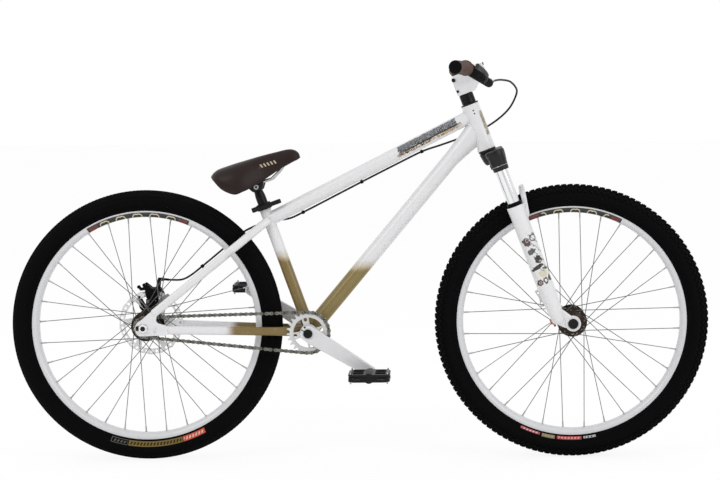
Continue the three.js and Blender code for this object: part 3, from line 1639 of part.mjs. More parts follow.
// Base plate: the stiff shell under the padding that the rails are set in
function saddleBase() {
  const rear = -saddleRear + saddleLength * saddleSectionShares[3][0];
  const nose = -saddleRear + saddleLength * saddleSectionShares[7][0];
  const top = basePlateTop;
  const plate = outlineShape([
    [rear, -basePlateHalfWidth], [0, -basePlateHalfWidth], [nose, -basePlateNoseHalfWidth],
    [nose, basePlateNoseHalfWidth], [0, basePlateHalfWidth], [rear, basePlateHalfWidth],
  ]);
  const rearSocket = outlineShape(rearSocketShares.map(([along, up]) => [
    -rearSocketFront - along * rearSocketLength,
    railRearRise + railRadius + fitGap + up * rearSocketHeight,
  ]));
  const noseX = railFront + noseSocketLip;
  const noseZ = railFrontRise + railRadius + fitGap;
  const noseSocket = outlineShape([
    [noseX - noseSocketLength, top], [noseX - noseSocketLength, noseZ], [noseX, noseZ],
    [noseX, noseZ + noseSocketThickness], [noseX - noseSocketLength + noseSocketStep, top],
  ]);
  const socket = sidePlate(rearSocket, -rearSocketOuterY, -rearSocketInnerY);
  return join([
    topPlate(plate, top - basePlateThickness, top),
    sidePlate(noseSocket, -noseSocketHalfWidth, noseSocketHalfWidth),
    socket,
    mirrored(socket),
  ]);
}

// Caliper, in the rear hub's frame: it straddles the disc
function caliper() {
  const half = caliperLength / 2;
  const bottom = caliperZ - caliperHeight / 2;
  const shape = outlineShape([
    [caliperX - half, bottom], [caliperX + half, bottom],
    [caliperX + half, bottom + caliperHeight * caliperShoulderShare],
    [caliperX + half * caliperShoulderShare, bottom + caliperHeight],
    [caliperX - half * caliperShoulderShare, bottom + caliperHeight],
    [caliperX - half, bottom + caliperHeight * caliperShoulderShare],
  ]);
  const body = sidePlate(shape, discY - caliperWidth / 2, discY + caliperWidth / 2, caliperBevel);
  const slotTop = discRadius + caliperBevel;
  const stopX = caliperX + half;
  const stopY = discY + caliperWidth / 4;
  const stopZ = caliperZ + cableStopRise;
  const stop = join([
    rod([stopX - cableStopLength / 2, stopY, stopZ], [stopX + cableStopLength / 2, stopY, stopZ],
      cableStopRadius, smallSides),
    block(stopX - cableStopPost, stopX, stopY - cableStopPost / 2, stopY + cableStopPost / 2,
      bottom + caliperHeight / 2, stopZ),
  ]);
  const pin = axleRod(caliperPinRadius, discY + caliperWidth / 2 - caliperBevel,
    discY + caliperWidth / 2 + caliperArmThickness, smallSides, caliperX, caliperZ);
  return join([
    body.subtract(block(caliperX - caliperLength, caliperX + caliperLength,
      discY - caliperSlot / 2, discY + caliperSlot / 2, bottom - caliperBevel, slotTop)),
    stop,
    pin,
  ]);
}

// Bracket between the left dropout and the caliper's outer half
function caliperBracket() {
  const top = caliperZ - caliperHeight / 2 - fitGap;
  const outer = dropoutInnerY - fitGap;
  const shape = outlineShape([
    [caliperX - bracketRear, top], [caliperX - bracketRear, bracketBottom + bracketRear],
    [bracketFoot, bracketBottom], [bracketFront, bracketBottom], [bracketFront, top],
  ]);
  return sidePlate(shape, outer - bracketThickness, outer);
}

function caliperArm() {
  const inner = discY + caliperWidth / 2 + fitGap;
  const angle = radians(caliperArmAngle);
  const shape = leverShape(
    caliperArmLength * Math.cos(angle),
    caliperArmLength * Math.sin(angle),
    caliperArmRadius,
    caliperArmTipRadius,
    coarseSteps,
  );
  return sidePlate(shape, inner, inner + caliperArmThickness)
    .subtract(axleRod(bore(caliperPinRadius, smallSides), 0, 2 * inner, smallSides))
    .translate([caliperX, 0, caliperZ]);
}

// Brake cable on the frame, with its clips
function frameCable() {
  const curve = smoothCurve(cableFrameRoute);
  const bodies = [pipe(curve, cableRadius, cableSides, cableFrameSteps)];
  clipSteps.forEach((place) => {
    const at = new THREE.Vector3(...cableFrameRoute[place]);
    const next = new THREE.Vector3(...cableFrameRoute[place + 1]);
    const last = new THREE.Vector3(...cableFrameRoute[place - 1]);
    const way = next.sub(last).normalize().multiplyScalar(clipLength / 2);
    const from = at.clone().sub(way).toArray();
    const to = at.clone().add(way).toArray();
    bodies.push(rod(from, to, clipRadius, clipSides));
  });
  return join(bodies);
}

function loopCable() {
  return pipe(smoothCurve(cableLoopRoute), cableRadius, cableSides, cableLoopSteps);
}

// The frame and what is fixed to it
addPiece(bike, 'frame', frame(), pearlWhite);
addPiece(steering, 'headset_lower_cup', lowerCup(), satinBlack);
addPiece(steering, 'headset_upper_cup', upperCup(), satinBlack);
const cups = groupAt(bike, crankX, 0, crankZ);
addPiece(cups, 'bottom_bracket_cup_right', bracketCup(), satinBlack);
addPiece(cups, 'bottom_bracket_cup_left', mirrored(bracketCup()), satinBlack);
addPiece(seat, 'seat_clamp_collar', seatCollar(), satinBlack);
addPiece(rearHub, 'rear_axle', rearAxleRod(), steel);
addPiece(rearHub, 'rear_axle_nut_right', rearAxleNut(), satinBlack);
addPiece(rearHub, 'rear_axle_nut_left', mirrored(rearAxleNut()), satinBlack);
addPiece(bike, 'chain', chain(), steel);
addPiece(rearHub, 'brake_caliper_bracket', caliperBracket(), satinBlack);
addPiece(rearHub, 'brake_caliper', caliper(), satinBlack);
addPiece(bike, 'brake_cable_frame', frameCable(), satinBlack);
addPiece(rearHub, 'caliper_arm', caliperArm(), greyMetal);

// Fork, stem and handlebar
addPiece(steering, 'fork_crown', crown(), satinBlack);
addPiece(steering, 'stanchion_right', stanchion(), chrome);
addPiece(steering, 'stanchion_left', mirrored(stanchion()), chrome);
addPiece(steering, 'headset_spacer', headsetSpacer(), satinBlack);
addPiece(steering, 'stem', stem(), frostWhite);
addPiece(steering, 'stem_top_cap', stemTopCap(), satinBlack);
addPiece(cockpit, 'handlebar', handlebar(), frostWhite);
addPiece(cockpit, 'grip_right', grip(), brownRubber);
addPiece(cockpit, 'grip_left', mirrored(grip()), brownRubber);
addPiece(cockpit, 'bar_plug_right', barPlug(), satinBlack);
addPiece(cockpit, 'bar_plug_left', mirrored(barPlug()), satinBlack);
addPiece(lever, 'brake_lever_bracket', leverBracket(), satinBlack);
addPiece(lever, 'brake_lever_blade', leverBlade(), satinBlack);
addPiece(bike, 'brake_cable_loop', loopCable(), satinBlack);

// Fork lowers
addPiece(steering, 'fork_lowers', forkLowers(), frostWhite);
addPiece(steering, 'fork_seal_right', forkSeal(), satinBlack);
addPiece(steering, 'fork_seal_left', mirrored(forkSeal()), satinBlack);
addPiece(frontHub, 'front_axle', frontAxle(), satinBlack);
addPiece(steering, 'rebound_knob', reboundKnob(), knobRed);

// Wheels
function addWheel(group, name, radius, width, startAngle, right, left, hub) {
  addPiece(group, `${name}_tyre`, tyre(radius, width), tyreRubber);
  addPiece(group, `${name}_rim`, rim(), frostWhite);
  addPiece(group, `${name}_spokes_right`, spokes(startAngle, right, -1), darkSteel);
  addPiece(group, `${name}_spokes_left`, spokes(startAngle, left, 1), darkSteel);
  addPiece(group, `${name}_hub`, hub, bronze);
}
addWheel(frontHub, 'front', frontTyreRadius, frontTyreWidth, frontSpokeStart,
  frontFlangeRight, frontFlangeLeft, frontHubBody());
addWheel(rearHub, 'rear', rearTyreRadius, rearTyreWidth, rearSpokeStart,
  rearFlangeRight, rearFlangeLeft, rearHubBody());
addPiece(rearHub, 'brake_disc', brakeDisc(), steel);
addPiece(rearHub, 'rear_cog', rearDriver(), steel);

// Cranks and pedals: each pedal's own frame is level
const leftCrank = groupAt(bike, crankX, 0, crankZ, radians(crankAngle + 180));
const ringInner = chainLineY + toothThickness / 2 + fitGap;
const cupOuter = shellWidth / 2 + cupFlangeThickness + 2 * fitGap;
addPiece(crank, 'crank_spindle', crankSpindle(), satinBlack);
addPiece(crank, 'chainring', chainring(), frostWhite);
addPiece(crank, 'crank_arm_right', crankArm(ringInner), frostWhite);
addPiece(leftCrank, 'crank_arm_left', mirrored(crankArm(cupOuter)), frostWhite);
const rightPedal = groupAt(crank, crankLength, 0, 0, -radians(crankAngle));
const leftPedal = groupAt(leftCrank, crankLength, 0, 0, -radians(crankAngle + 180));
addPiece(rightPedal, 'pedal_axle_right', pedalAxle(), steel);
addPiece(rightPedal, 'pedal_right', pedalBody(), satinBlack);
addPiece(leftPedal, 'pedal_axle_left', mirrored(pedalAxle()), steel);
addPiece(leftPedal, 'pedal_left', mirrored(pedalBody()), satinBlack);

// Seat
addPiece(seat, 'seat_clamp_lever', seatLever(), satinBlack);
addPiece(seat, 'seat_post', seatPost(), satinBlack);
addPiece(saddle, 'saddle_cradle', saddleCradle(), satinBlack);
addPiece(saddle, 'saddle_rails', saddleRails(), steel);
addPiece(saddle, 'saddle_base', saddleBase(), satinBlack);
addPiece(saddle, 'saddle_cover', saddleCover(), brownLeather);

export default bike;
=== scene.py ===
"""The looks of a dirt jump bike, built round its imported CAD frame.

Metres in the row frame: +X forward, +Z up, the drive side is -Y. Each piece is drawn in
millimetres in the frame of what carries it, and then set into the row frame.
"""
import json
import math
import random

import bmesh
import bpy
from mathutils import Matrix, Vector


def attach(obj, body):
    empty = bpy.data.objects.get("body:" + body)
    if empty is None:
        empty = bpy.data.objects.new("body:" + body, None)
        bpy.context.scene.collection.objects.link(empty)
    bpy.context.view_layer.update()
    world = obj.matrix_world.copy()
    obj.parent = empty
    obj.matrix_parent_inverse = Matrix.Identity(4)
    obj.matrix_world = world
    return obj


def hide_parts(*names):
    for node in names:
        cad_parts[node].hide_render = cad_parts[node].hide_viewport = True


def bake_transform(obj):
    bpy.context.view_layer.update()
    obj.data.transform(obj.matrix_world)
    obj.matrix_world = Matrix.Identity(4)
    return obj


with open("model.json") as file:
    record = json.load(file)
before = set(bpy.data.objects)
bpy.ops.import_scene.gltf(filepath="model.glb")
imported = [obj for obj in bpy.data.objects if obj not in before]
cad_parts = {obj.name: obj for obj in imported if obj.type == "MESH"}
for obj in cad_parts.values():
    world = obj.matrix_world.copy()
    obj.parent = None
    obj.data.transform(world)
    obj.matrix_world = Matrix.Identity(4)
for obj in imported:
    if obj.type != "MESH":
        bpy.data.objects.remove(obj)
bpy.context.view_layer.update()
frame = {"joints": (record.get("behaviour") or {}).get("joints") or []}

MM = 0.001
SPOT = {
    joint["name"]: [c / MM for c in joint.get("pos_m") or (0, 0, 0)]
    for joint in frame["joints"]
}


# Carriers: the frames in which pieces are drawn
def carrier(x, z, lean=0, y=0):
    """Frame of a carrier in the side view. Its X axis leans up by so many degrees."""
    turn = Matrix.Rotation(math.radians(-lean), 4, "Y")
    return Matrix.Scale(MM, 4) @ Matrix.Translation((x, y, z)) @ turn


def carrier_at(joint, lean=0, y=None):
    """Frame of a carrier at a joint's place, or at another distance from the middle."""
    x, at, z = SPOT[joint]
    return carrier(x, z, lean, at if y is None else y)


SIDES = ((-1, "right"), (1, "left"))
HEAD_LEAN = 20.5
SEAT_LEAN = 19.5
CRANK_LEAN = -32
CRANK_LENGTH = 180
LEVER_LEAN = -25
SADDLE_LEAN = 16
SEAT_TUBE_TOP = 319.7
STEM_REACH, STEM_RISE = 46, 186
BIKE = carrier(0, 0)
STEERING = carrier_at("steering_turn", HEAD_LEAN)
FRONT = carrier_at("front_wheel_spin")
REAR = carrier_at("rear_wheel_spin")
CRANK = carrier_at("crank_turn", CRANK_LEAN)
LEFT_CRANK = carrier_at("crank_turn", CRANK_LEAN + 180)
SHELL = carrier_at("crank_turn")
SADDLE = carrier_at("saddle_tilt", SADDLE_LEAN)
RIGHT_PEDAL = carrier_at("pedal_right_spin", y=0)
LEFT_PEDAL = carrier_at("pedal_left_spin", y=0)
CRANK_X, _, CRANK_Z = SPOT["crank_turn"]
REAR_X, _, REAR_Z = SPOT["rear_wheel_spin"]
HEAD_X, _, HEAD_Z = SPOT["steering_turn"]
SEAT_SIN = math.sin(math.radians(SEAT_LEAN))
SEAT_COS = math.cos(math.radians(SEAT_LEAN))
HEAD_SIN = math.sin(math.radians(HEAD_LEAN))
HEAD_COS = math.cos(math.radians(HEAD_LEAN))
SEAT = carrier(
    CRANK_X - SEAT_TUBE_TOP * SEAT_SIN, CRANK_Z + SEAT_TUBE_TOP * SEAT_COS, SEAT_LEAN
)
COCKPIT = carrier(
    HEAD_X + STEM_REACH * HEAD_COS - STEM_RISE * HEAD_SIN,
    HEAD_Z + STEM_REACH * HEAD_SIN + STEM_RISE * HEAD_COS,
)
COCKPIT_AT = COCKPIT.translation / MM
BAR_BEND = Vector((-2.3, 110, 5.5))
BAR_BACK, BAR_UP = (math.tan(math.radians(a)) for a in (12.7, 0.4))


def bar_place(y):
    """Centre of the handlebar's swept part at a distance from the middle, in the cockpit."""
    out = abs(y) - BAR_BEND.y
    return Vector((BAR_BEND.x - out * BAR_BACK, y, BAR_BEND.z + out * BAR_UP))


LEVER_AT = COCKPIT_AT + bar_place(-214)
LEVER = carrier(LEVER_AT.x, LEVER_AT.z, LEVER_LEAN, LEVER_AT.y)


# Camera at the photograph's angle, in metres. It stands aside of the eye, and the lens shift
# brings the bike back into the frame
EYE = Vector((0.0105, -4.6925, 0.9072))
ASIDE = 0.22
DISTANCE = 4.7066
LENS, SENSOR = 95.1, 36
YAW_PITCH_ROLL = (-0.111, -4.437, -0.441)


def place_camera():
    yaw, pitch, roll = (math.radians(a) for a in YAW_PITCH_ROLL)
    forward = Vector((
        math.sin(yaw) * math.cos(pitch),
        math.cos(yaw) * math.cos(pitch),
        math.sin(pitch),
    ))
    level = Vector((math.cos(yaw), -math.sin(yaw), 0))
    rise = level.cross(forward)
    right = level * math.cos(roll) + rise * math.sin(roll)
    up = rise * math.cos(roll) - level * math.sin(roll)
    camera = bpy.data.objects.new("camera", bpy.data.cameras.new("camera"))
    camera.data.lens = LENS
    camera.data.sensor_width = SENSOR
    camera.data.clip_end = 60
    camera.data.shift_x = -ASIDE * LENS / SENSOR / DISTANCE
    turn = Matrix((right, up, -forward)).transposed().to_4x4()
    camera.matrix_world = Matrix.Translation(EYE + right * ASIDE) @ turn
    bpy.context.scene.collection.objects.link(camera)
    bpy.context.scene.camera = camera


place_camera()


# Paints: every finish is a node tree written as sums of its values
SOCKETS = {
    "coat": "Coat Weight",
    "coat_roughness": "Coat Roughness",
    "specular": "Specular IOR Level",
}


class Value:
    """A number over a surface, which adds, multiplies and divides as plain numbers do."""

    def __init__(self, nodes, socket):
        self.nodes = nodes
        self.socket = socket

    def math(self, operation, first, second=0.0):
        return self.nodes.node("Math", {"operation": operation}, first, second)

    def __add__(self, other):
        return self.math("ADD", self, other)

    def __sub__(self, other):
        return self.math("SUBTRACT", self, other)

    def __rsub__(self, other):
        return self.math("SUBTRACT", other, self)

    def __mul__(self, other):
        return self.math("MULTIPLY", self, other)

    def __truediv__(self, other):
        return self.math("DIVIDE", self, other)

    def __neg__(self):
        return self.math("MULTIPLY", self, -1.0)

    def __abs__(self):
        return self.math("ABSOLUTE", self)

    __radd__ = __add__
    __rmul__ = __mul__

    def power(self, other):
        return self.math("POWER", self, other)

    def wave(self):
        return self.math("SINE", self)

    def most(self, other):
        return self.math("MAXIMUM", self, other)

    def angle(self, other):
        """Degrees round from the other's direction towards this one's."""
        return self.math("ARCTAN2", self, other) * math.degrees(1)

    def fold(self, width):
        """Distance to the nearest even multiple of a width."""
        return self.math("PINGPONG", self, width)

    def rise(self, low, high):
        """0 below low, 1 above high, smooth between them."""
        settings = {"interpolation_type": "SMOOTHSTEP"}
        return self.nodes.node("MapRange", settings, self, low, high, 0.0, 1.0)

    def near(self, centre, half, soft=1.0):
        """1 within half of a centre, falling to 0 over a soft edge."""
        return 1 - abs(self - centre).rise(half - soft, half + soft)


def far(u, v):
    """Distance from the middle of two values."""
    return (u * u + v * v).power(0.5)


class Nodes:
    """The nodes of a material or a world, made by one method, up to its shader's sockets."""

    def __init__(self, owner, shader):
        owner.use_nodes = True
        self.tree = owner.node_tree
        self.shader = self.tree.nodes[shader]

    def node(self, kind, settings, *values, out=0, **named):
        """A new node of a kind: its settings first, then its sockets in order or by name."""
        node = self.tree.nodes.new("ShaderNode" + kind)
        for key, value in settings.items():
            setattr(node, key, value)
        for socket, value in [*enumerate(values), *named.items()]:
            if value is not None:
                self.plug(node.inputs[socket], value)
        return Value(self, node.outputs[out])

    def plug(self, socket, value):
        """Links a value to a socket, or sets a number or a colour on it."""
        if isinstance(value, Value):
            self.tree.links.new(value.socket, socket)
        elif isinstance(value, (tuple, list, Vector)) and socket.type == "RGBA":
            socket.default_value = (*value[:3], 1)
        else:
            socket.default_value = value

    def feed(self, name, value):
        """Plugs a value into one of the shader's sockets."""
        self.plug(self.shader.inputs[name], value)


class Paint(Nodes):
    """A named finish: its material, its nodes and the record's slot that it belongs to."""

    def __init__(self, name, slot, colour, roughness=0.4, metallic=0.0, **constants):
        self.slot = slot
        self.material = bpy.data.materials.new(name)
        super().__init__(self.material, "Principled BSDF")
        self.feed("Metallic", metallic)
        self.feed("Base Color", colour)
        self.feed("Roughness", roughness)
        for socket, value in constants.items():
            self.feed(SOCKETS[socket], value)

    def point(self):
        """The place on the surface, in the row frame."""
        return self.node("TexCoord", {}, out=3)

    def places(self, where):
        """X, Y and Z in millimetres in a carrier's frame."""
        point = self.point()
        rows = where.inverted()
        return [
            self.node("VectorMath", {"operation": "DOT_PRODUCT"}, point, row[:3], out=1) + row[3]
            for row in rows[:3]
        ]

    def noise(self, size, detail, roughness=0.55):
        """Soft grain about 0.5, its features so many millimetres wide."""
        return self.node("TexNoise", {}, self.point(), None, 1 / (size * MM), detail, roughness)

    def cells(self, size):
        """Distance to the middle of the nearest of small cells."""
        return self.node("TexVoronoi", {}, self.point(), None, 1 / (size * MM))

    def mix(self, factor, low, high):
        """A colour between two."""
        node = self.node("Mix", {"data_type": "RGBA"}, factor, out=2)
        inputs = node.socket.node.inputs
        self.plug(inputs[6], low)
        self.plug(inputs[7], high)
        return node

    def bump(self, height, strength=0.2, distance=0.2):
        """Relief from a height of 0 to 1, up to so many millimetres deep."""
        normal = self.node("Bump", {}, Strength=strength, Distance=distance * MM, Height=height)
        self.feed("Normal", normal)


def worn(name, slot, colour, roughness, metallic=0.0, grain=6, spread=0.06, relief=0.05,
         shade=0.04, **constants):
    """A finish whose colour and gloss drift a little over the surface, with a fine grain."""
    paint = Paint(name, slot, colour, roughness, metallic, **constants)
    cloud = paint.noise(grain * 8, 4)
    fine = paint.noise(grain / 4, 2)
    deep = [c * (1 - shade * 2) for c in colour]
    pale = [min(c * (1 + shade), 1) for c in colour]
    paint.feed("Base Color", paint.mix(cloud, deep, pale))
    paint.feed("Roughness", roughness + (cloud - 0.5) * spread + (fine - 0.5) * spread)
    paint.bump(fine, relief)
    return paint


PEARL = (0.79, 0.79, 0.80)


def frame_paint():
    """Pearl white that fades to olive gold round the bottom bracket, with a burnt edge."""
    paint = Paint("pearl_to_gold", "pearl_paint", PEARL, 0.3, coat=0.12, coat_roughness=0.12,
                  specular=0.32)
    x, _, z = paint.places(BIKE)
    cloud = paint.noise(30, 4)
    drift = (paint.noise(60, 3) - 0.5) * 16
    ahead = (x - CRANK_X).rise(-10, 50)
    back = CRANK_X - x
    reach_up = 1 - (z + ahead * 26 + drift).rise(490, 526)
    reach_back = 1 - (back + drift * 0.5).rise(178, 206)
    gold = reach_up * reach_back
    burnt = (gold * (1 - gold) * 4).power(1.3)
    olive = paint.mix(cloud, (0.165, 0.112, 0.034), (0.225, 0.165, 0.062))
    olive = paint.mix(ahead * 0.6, olive, (0.25, 0.195, 0.075))
    scorch = paint.mix(back.rise(120, 160), (0.45, 0.33, 0.14), (0.22, 0.085, 0.018))
    edge = paint.mix(burnt * 0.8, olive, scorch)
    white = paint.mix(paint.noise(45, 3), (0.69, 0.69, 0.70), (0.72, 0.72, 0.73))
    body = paint.mix(gold, white, edge)
    body = head_strip(paint, body)
    body = top_tube_band(paint, body)
    paint.feed("Base Color", body)
    paint.feed("Roughness", 0.27 + (cloud - 0.5) * 0.08)
    return paint


def head_strip(paint, body):
    """Grey loops over ochre down the head tube's front, and two dark dots on each side."""
    forward, _, up = paint.places(STEERING)
    cloud = paint.noise(9, 3)
    ragged = (cloud - 0.5) * 10
    strip = (forward + ragged * 0.6).rise(13, 14.5) * (up + ragged).near(64, 31, 2)
    loops = 1 - (cloud - 0.5).fold(0.07).rise(0.015, 0.035)
    tone = paint.mix(paint.noise(20, 1).rise(0.4, 0.6), (0.42, 0.35, 0.22), (0.52, 0.48, 0.40))
    body = paint.mix(strip, body, paint.mix(loops, tone, (0.11, 0.10, 0.10)))
    for along, level in ((2.5, 101), (2.6, 93)):
        u, v = forward - along, up - level
        dot = 1 - far(u, v).rise(1.5, 2.5)
        body = paint.mix(dot, body, (0.03, 0.028, 0.03))
    return body


def top_tube_band(paint, body):
    """Charcoal scribbles over a dark line and ochre loops, on both sides of the top tube."""
    start, angle = Vector((171.0, 0, 796.0)), 26.7
    along, across, up = paint.places(carrier(start.x, start.z, angle))
    curl, swirl = paint.noise(9, 1), paint.noise(12, 1)
    ragged = (curl - 0.5) * 9
    side = abs(across).rise(3.5, 5)
    lower = (along + ragged * 2).near(0, 86, 3) * (up + ragged * 0.8).near(-8.5, 4, 1)
    tone = paint.mix(paint.noise(22, 1).rise(0.42, 0.58), (0.50, 0.36, 0.17), (0.62, 0.57, 0.44))
    loops = 1 - (swirl - 0.5).fold(0.06).rise(0.012, 0.032)
    tone = paint.mix(loops, tone, (0.06, 0.03, 0.02))
    body = paint.mix(lower * side * 0.9, body, tone)
    blots = (paint.noise(10, 0) + along * 0.0012).near(0.36, 0.05, 0.02)
    blots = blots * along.near(-40, 42, 4) * up.near(-8, 4.5, 1)
    body = paint.mix(blots * side, body, (0.05, 0.012, 0.014))
    upper = (along + ragged).near(0, 80, 1) * (up + ragged * 0.4).near(3.5, 8.5, 0.7)
    pale = 1 - (curl - 0.5).fold(0.06).rise(0.008, 0.028)
    ink = paint.mix(paint.noise(18, 1), (0.045, 0.045, 0.05), (0.08, 0.085, 0.10))
    body = paint.mix(upper * side, body, paint.mix(pale, ink, (0.36, 0.37, 0.39)))
    line = along.near(8, 74, 5) * (up + ragged * 0.35).near(-4.4, 1.5, 0.6)
    return paint.mix(line * side, body, (0.012, 0.006, 0.006))


# Generic ink marks on the fork legs: centre, half sizes, slant, ring or blot, colour
INK, UMBER, SLATE = (0.012, 0.011, 0.011), (0.075, 0.045, 0.04), (0.10, 0.10, 0.105)
LEG_MARKS = [
    (9, -243, 9.5, 12, 0.2, False, UMBER), (11, -240, 4.5, 5, 0.2, True, (0.4, 0.36, 0.35)),
    (27, -237, 8, 10, -0.2, True, SLATE), (12, -269, 12, 7, 0.35, False, SLATE),
    (21, -292, 9, 10, 0.1, False, INK), (24, -297, 3.6, 2.4, 0, False, (0.45, 0.41, 0.28)),
    (12, -310, 17, 5.5, 0.3, False, INK), (31, -318, 12, 3, -0.3, False, UMBER),
    (6, -348, 8, 8, 0, False, UMBER), (6, -348, 3.5, 3.5, 0, True, (0.5, 0.46, 0.42)),
    (20, -346, 6, 8, 0, True, UMBER), (32, -343, 5, 7.5, 0, False, UMBER),
    (20.5, -328, 10.5, 10.5, 0, False, (0.60, 0.56, 0.42)),
]


def leg_paint():
    """White fork legs with generic ink blots and an ochre dot on each outer side."""
    paint = Paint("leg_white", "white_paint", PEARL, 0.3, coat=0.3, coat_roughness=0.15)
    forward, across, up = paint.places(STEERING)
    cloud = paint.noise(50, 3)
    body = paint.mix(cloud, (0.69, 0.69, 0.70), (0.73, 0.73, 0.74))
    outer = abs(across).rise(71, 73)
    ragged = (paint.noise(6, 3) - 0.5) * 1.5
    for along, level, wide, tall, lean, ring, tone in LEG_MARKS:
        u = (forward - along) + (up - level) * lean
        v = (up - level) - (forward - along) * lean
        reach = far(u / wide, v / tall) + ragged
        mark = reach.near(0.8, 0.24, 0.12) if ring else 1 - reach.rise(0.9, 1.05)
        body = paint.mix(mark * outer, body, tone)
    lines = (forward * 0.8 + up * 0.5 + ragged * 9).fold(5.5).rise(0.7, 1.3)
    lines = (1 - lines) * up.near(-275, 48, 3) * forward.near(27, 15, 2)
    body = paint.mix(lines * outer * 0.75, body, (0.06, 0.055, 0.06))
    paint.feed("Base Color", body)
    paint.feed("Roughness", 0.28 + (cloud - 0.5) * 0.08)
    paint.bump(paint.noise(2.5, 2), 0.03)
    return paint


def rim_paint(name, where, middle, half):
    """White rim with a plain printed band at its top."""
    paint = Paint(name, "white_rim", PEARL, 0.32, coat=0.25, coat_roughness=0.15)
    x, across, z = paint.places(where)
    radius = far(x, z)
    cloud = paint.noise(30, 3)
    body = paint.mix(cloud, (0.60, 0.605, 0.62), (0.64, 0.645, 0.655))
    black = paint.mix(paint.noise(8, 2), (0.008, 0.008, 0.008), (0.014, 0.014, 0.014))
    turn = abs(x.angle(z) - middle)
    band = turn.near(0, half, 0.15) * radius.near(274, 7.2, 0.3) * abs(across).rise(6, 7)
    spread, height = turn.fold(4.4) * 4.8 - 4, radius - 270
    loop = far(spread, height).near(7.5, 1.3, 0.4)
    marks = paint.mix(loop * turn.near(0, half - 7, 0.3), black, (0.62, 0.55, 0.36))
    red = turn.near(half - 3.2, 2.4, 0.1) * radius.near(273.5, 4.2, 0.3)
    marks = paint.mix(red, marks, (0.16, 0.02, 0.015))
    paint.feed("Base Color", paint.mix(band, body, marks))
    paint.feed("Roughness", 0.3 + (cloud - 0.5) * 0.1)
    paint.bump(paint.noise(3, 2), 0.03)
    return paint


# Plain printed blocks low on the tyres' sides: first and last angle ahead of straight down,
# inner and outer radius, ground and ticks
REAR_LABELS = [
    (-18.3, -10.2, 289.5, 301.5, (0.13, 0.125, 0.115), (0.13, 0.125, 0.115)),
    (-18.0, -10.4, 290.6, 300.4, (0.003, 0.003, 0.003), (0.10, 0.095, 0.085)),
    (-9.7, 16.4, 289.5, 301.5, (0.19, 0.135, 0.045), (0.03, 0.02, 0.008)),
    (16.7, 28.2, 289.5, 301.5, (0.52, 0.085, 0.045), (0.66, 0.45, 0.40)),
]
FRONT_LABELS = [
    (-26, -16, 288.5, 294, (0.40, 0.09, 0.11), (0.62, 0.45, 0.46)),
    (-15, -8.5, 288.5, 296, (0.24, 0.19, 0.10), (0.35, 0.32, 0.26)),
    (-7.5, 4.5, 288.5, 295.5, (0.42, 0.07, 0.07), (0.60, 0.36, 0.34)),
    (5.5, 11.5, 289.5, 294, (0.50, 0.50, 0.50), (0.02, 0.02, 0.02)),
]


def printed_block(paint, body, angle, radius, block):
    """One printed block on a tyre's side, with plain slanted ticks along its middle."""
    first, last, inner, outer, ground, tick = block
    middle, half = (first + last) / 2, (last - first) / 2
    level, tall = (inner + outer) / 2, (outer - inner) / 2
    whole = angle.near(middle, half, 0.15) * radius.near(level, tall, 0.5)
    body = paint.mix(whole, body, ground)
    ticks = (angle + radius * 0.08).fold(0.8).rise(0.3, 0.42) * angle.near(middle, half - 0.6, 0.2)
    return paint.mix(ticks * radius.near(level, tall * 0.55, 0.5), body, tick)


def tyre_rubber_paint(name, where, tread_from, labels):
    """Matt black rubber: smooth sidewalls with printed blocks, a duller tread."""
    paint = Paint(name, "tyre_rubber", (0.003, 0.003, 0.003), 0.65, specular=0.04)
    x, _, z = paint.places(where)
    radius = far(x, z)
    tread = radius.rise(tread_from, tread_from + 4)
    cloud = paint.noise(25, 4)
    wall = paint.mix(cloud, (0.0012, 0.0012, 0.0015), (0.0026, 0.0026, 0.003))
    top = paint.mix(cloud, (0.0025, 0.0025, 0.0025), (0.006, 0.006, 0.006))
    body = paint.mix(tread, wall, top)
    angle = x.angle(-z)
    for block in labels:
        body = printed_block(paint, body, angle, radius, block)
    paint.feed("Base Color", body)
    paint.feed("Roughness", 0.64 + tread * 0.12 + (cloud - 0.5) * 0.12)
    rings = (radius * 2.2).wave() * (1 - tread) * 0.12
    paint.bump(rings + paint.noise(1.6, 3) * 0.5, 0.35, 0.3)
    return paint


def leather_paint():
    """Glossy dark brown cover with a fine grain and pale scuffs on its crown."""
    paint = Paint("saddle_hide", "saddle_leather", (0.02, 0.012, 0.011), 0.4,
                  coat=0.04, coat_roughness=0.3, specular=0.14)
    along, across, up = paint.places(SADDLE)
    cloud = paint.noise(28, 4)
    grain = paint.cells(1.5)
    body = paint.mix(cloud, (0.014, 0.008, 0.0075), (0.026, 0.016, 0.0145))
    dash = (along + up * 0.4).fold(4.2).rise(2.1, 2.5) * along.near(44, 22, 0.4)
    dash = dash * up.near(46, 4.2, 0.5) * abs(across).rise(8, 10)
    body = paint.mix(dash * 0.9, body, (0.52, 0.42, 0.30))
    paint.feed("Base Color", body)
    paint.feed("Roughness", 0.4 + (cloud - 0.5) * 0.16 + (grain - 0.3) * 0.1)
    paint.bump(grain + paint.noise(6, 3) * 0.6, 0.22, 0.25)
    return paint


def grip_paint():
    """Brown rubber with a fine knurl."""
    paint = Paint("grip_brown", "grip_rubber", (0.10, 0.06, 0.05), 0.68, specular=0.2)
    cloud = paint.noise(14, 4)
    paint.feed("Base Color", paint.mix(cloud, (0.088, 0.052, 0.043), (0.118, 0.072, 0.06)))
    paint.feed("Roughness", 0.66 + (cloud - 0.5) * 0.16)
    paint.bump(paint.cells(1.1) + paint.noise(3, 2) * 0.5, 0.4, 0.3)
    return paint


def cast_black(name, slot="black_metal", colour=(0.007, 0.007, 0.0075), roughness=0.42, **more):
    """Black with a soft shine, for metal and plastic parts."""
    more.setdefault("specular", 0.22)
    return worn(name, slot, colour, roughness, grain=5, relief=0.06, shade=0.12, **more)


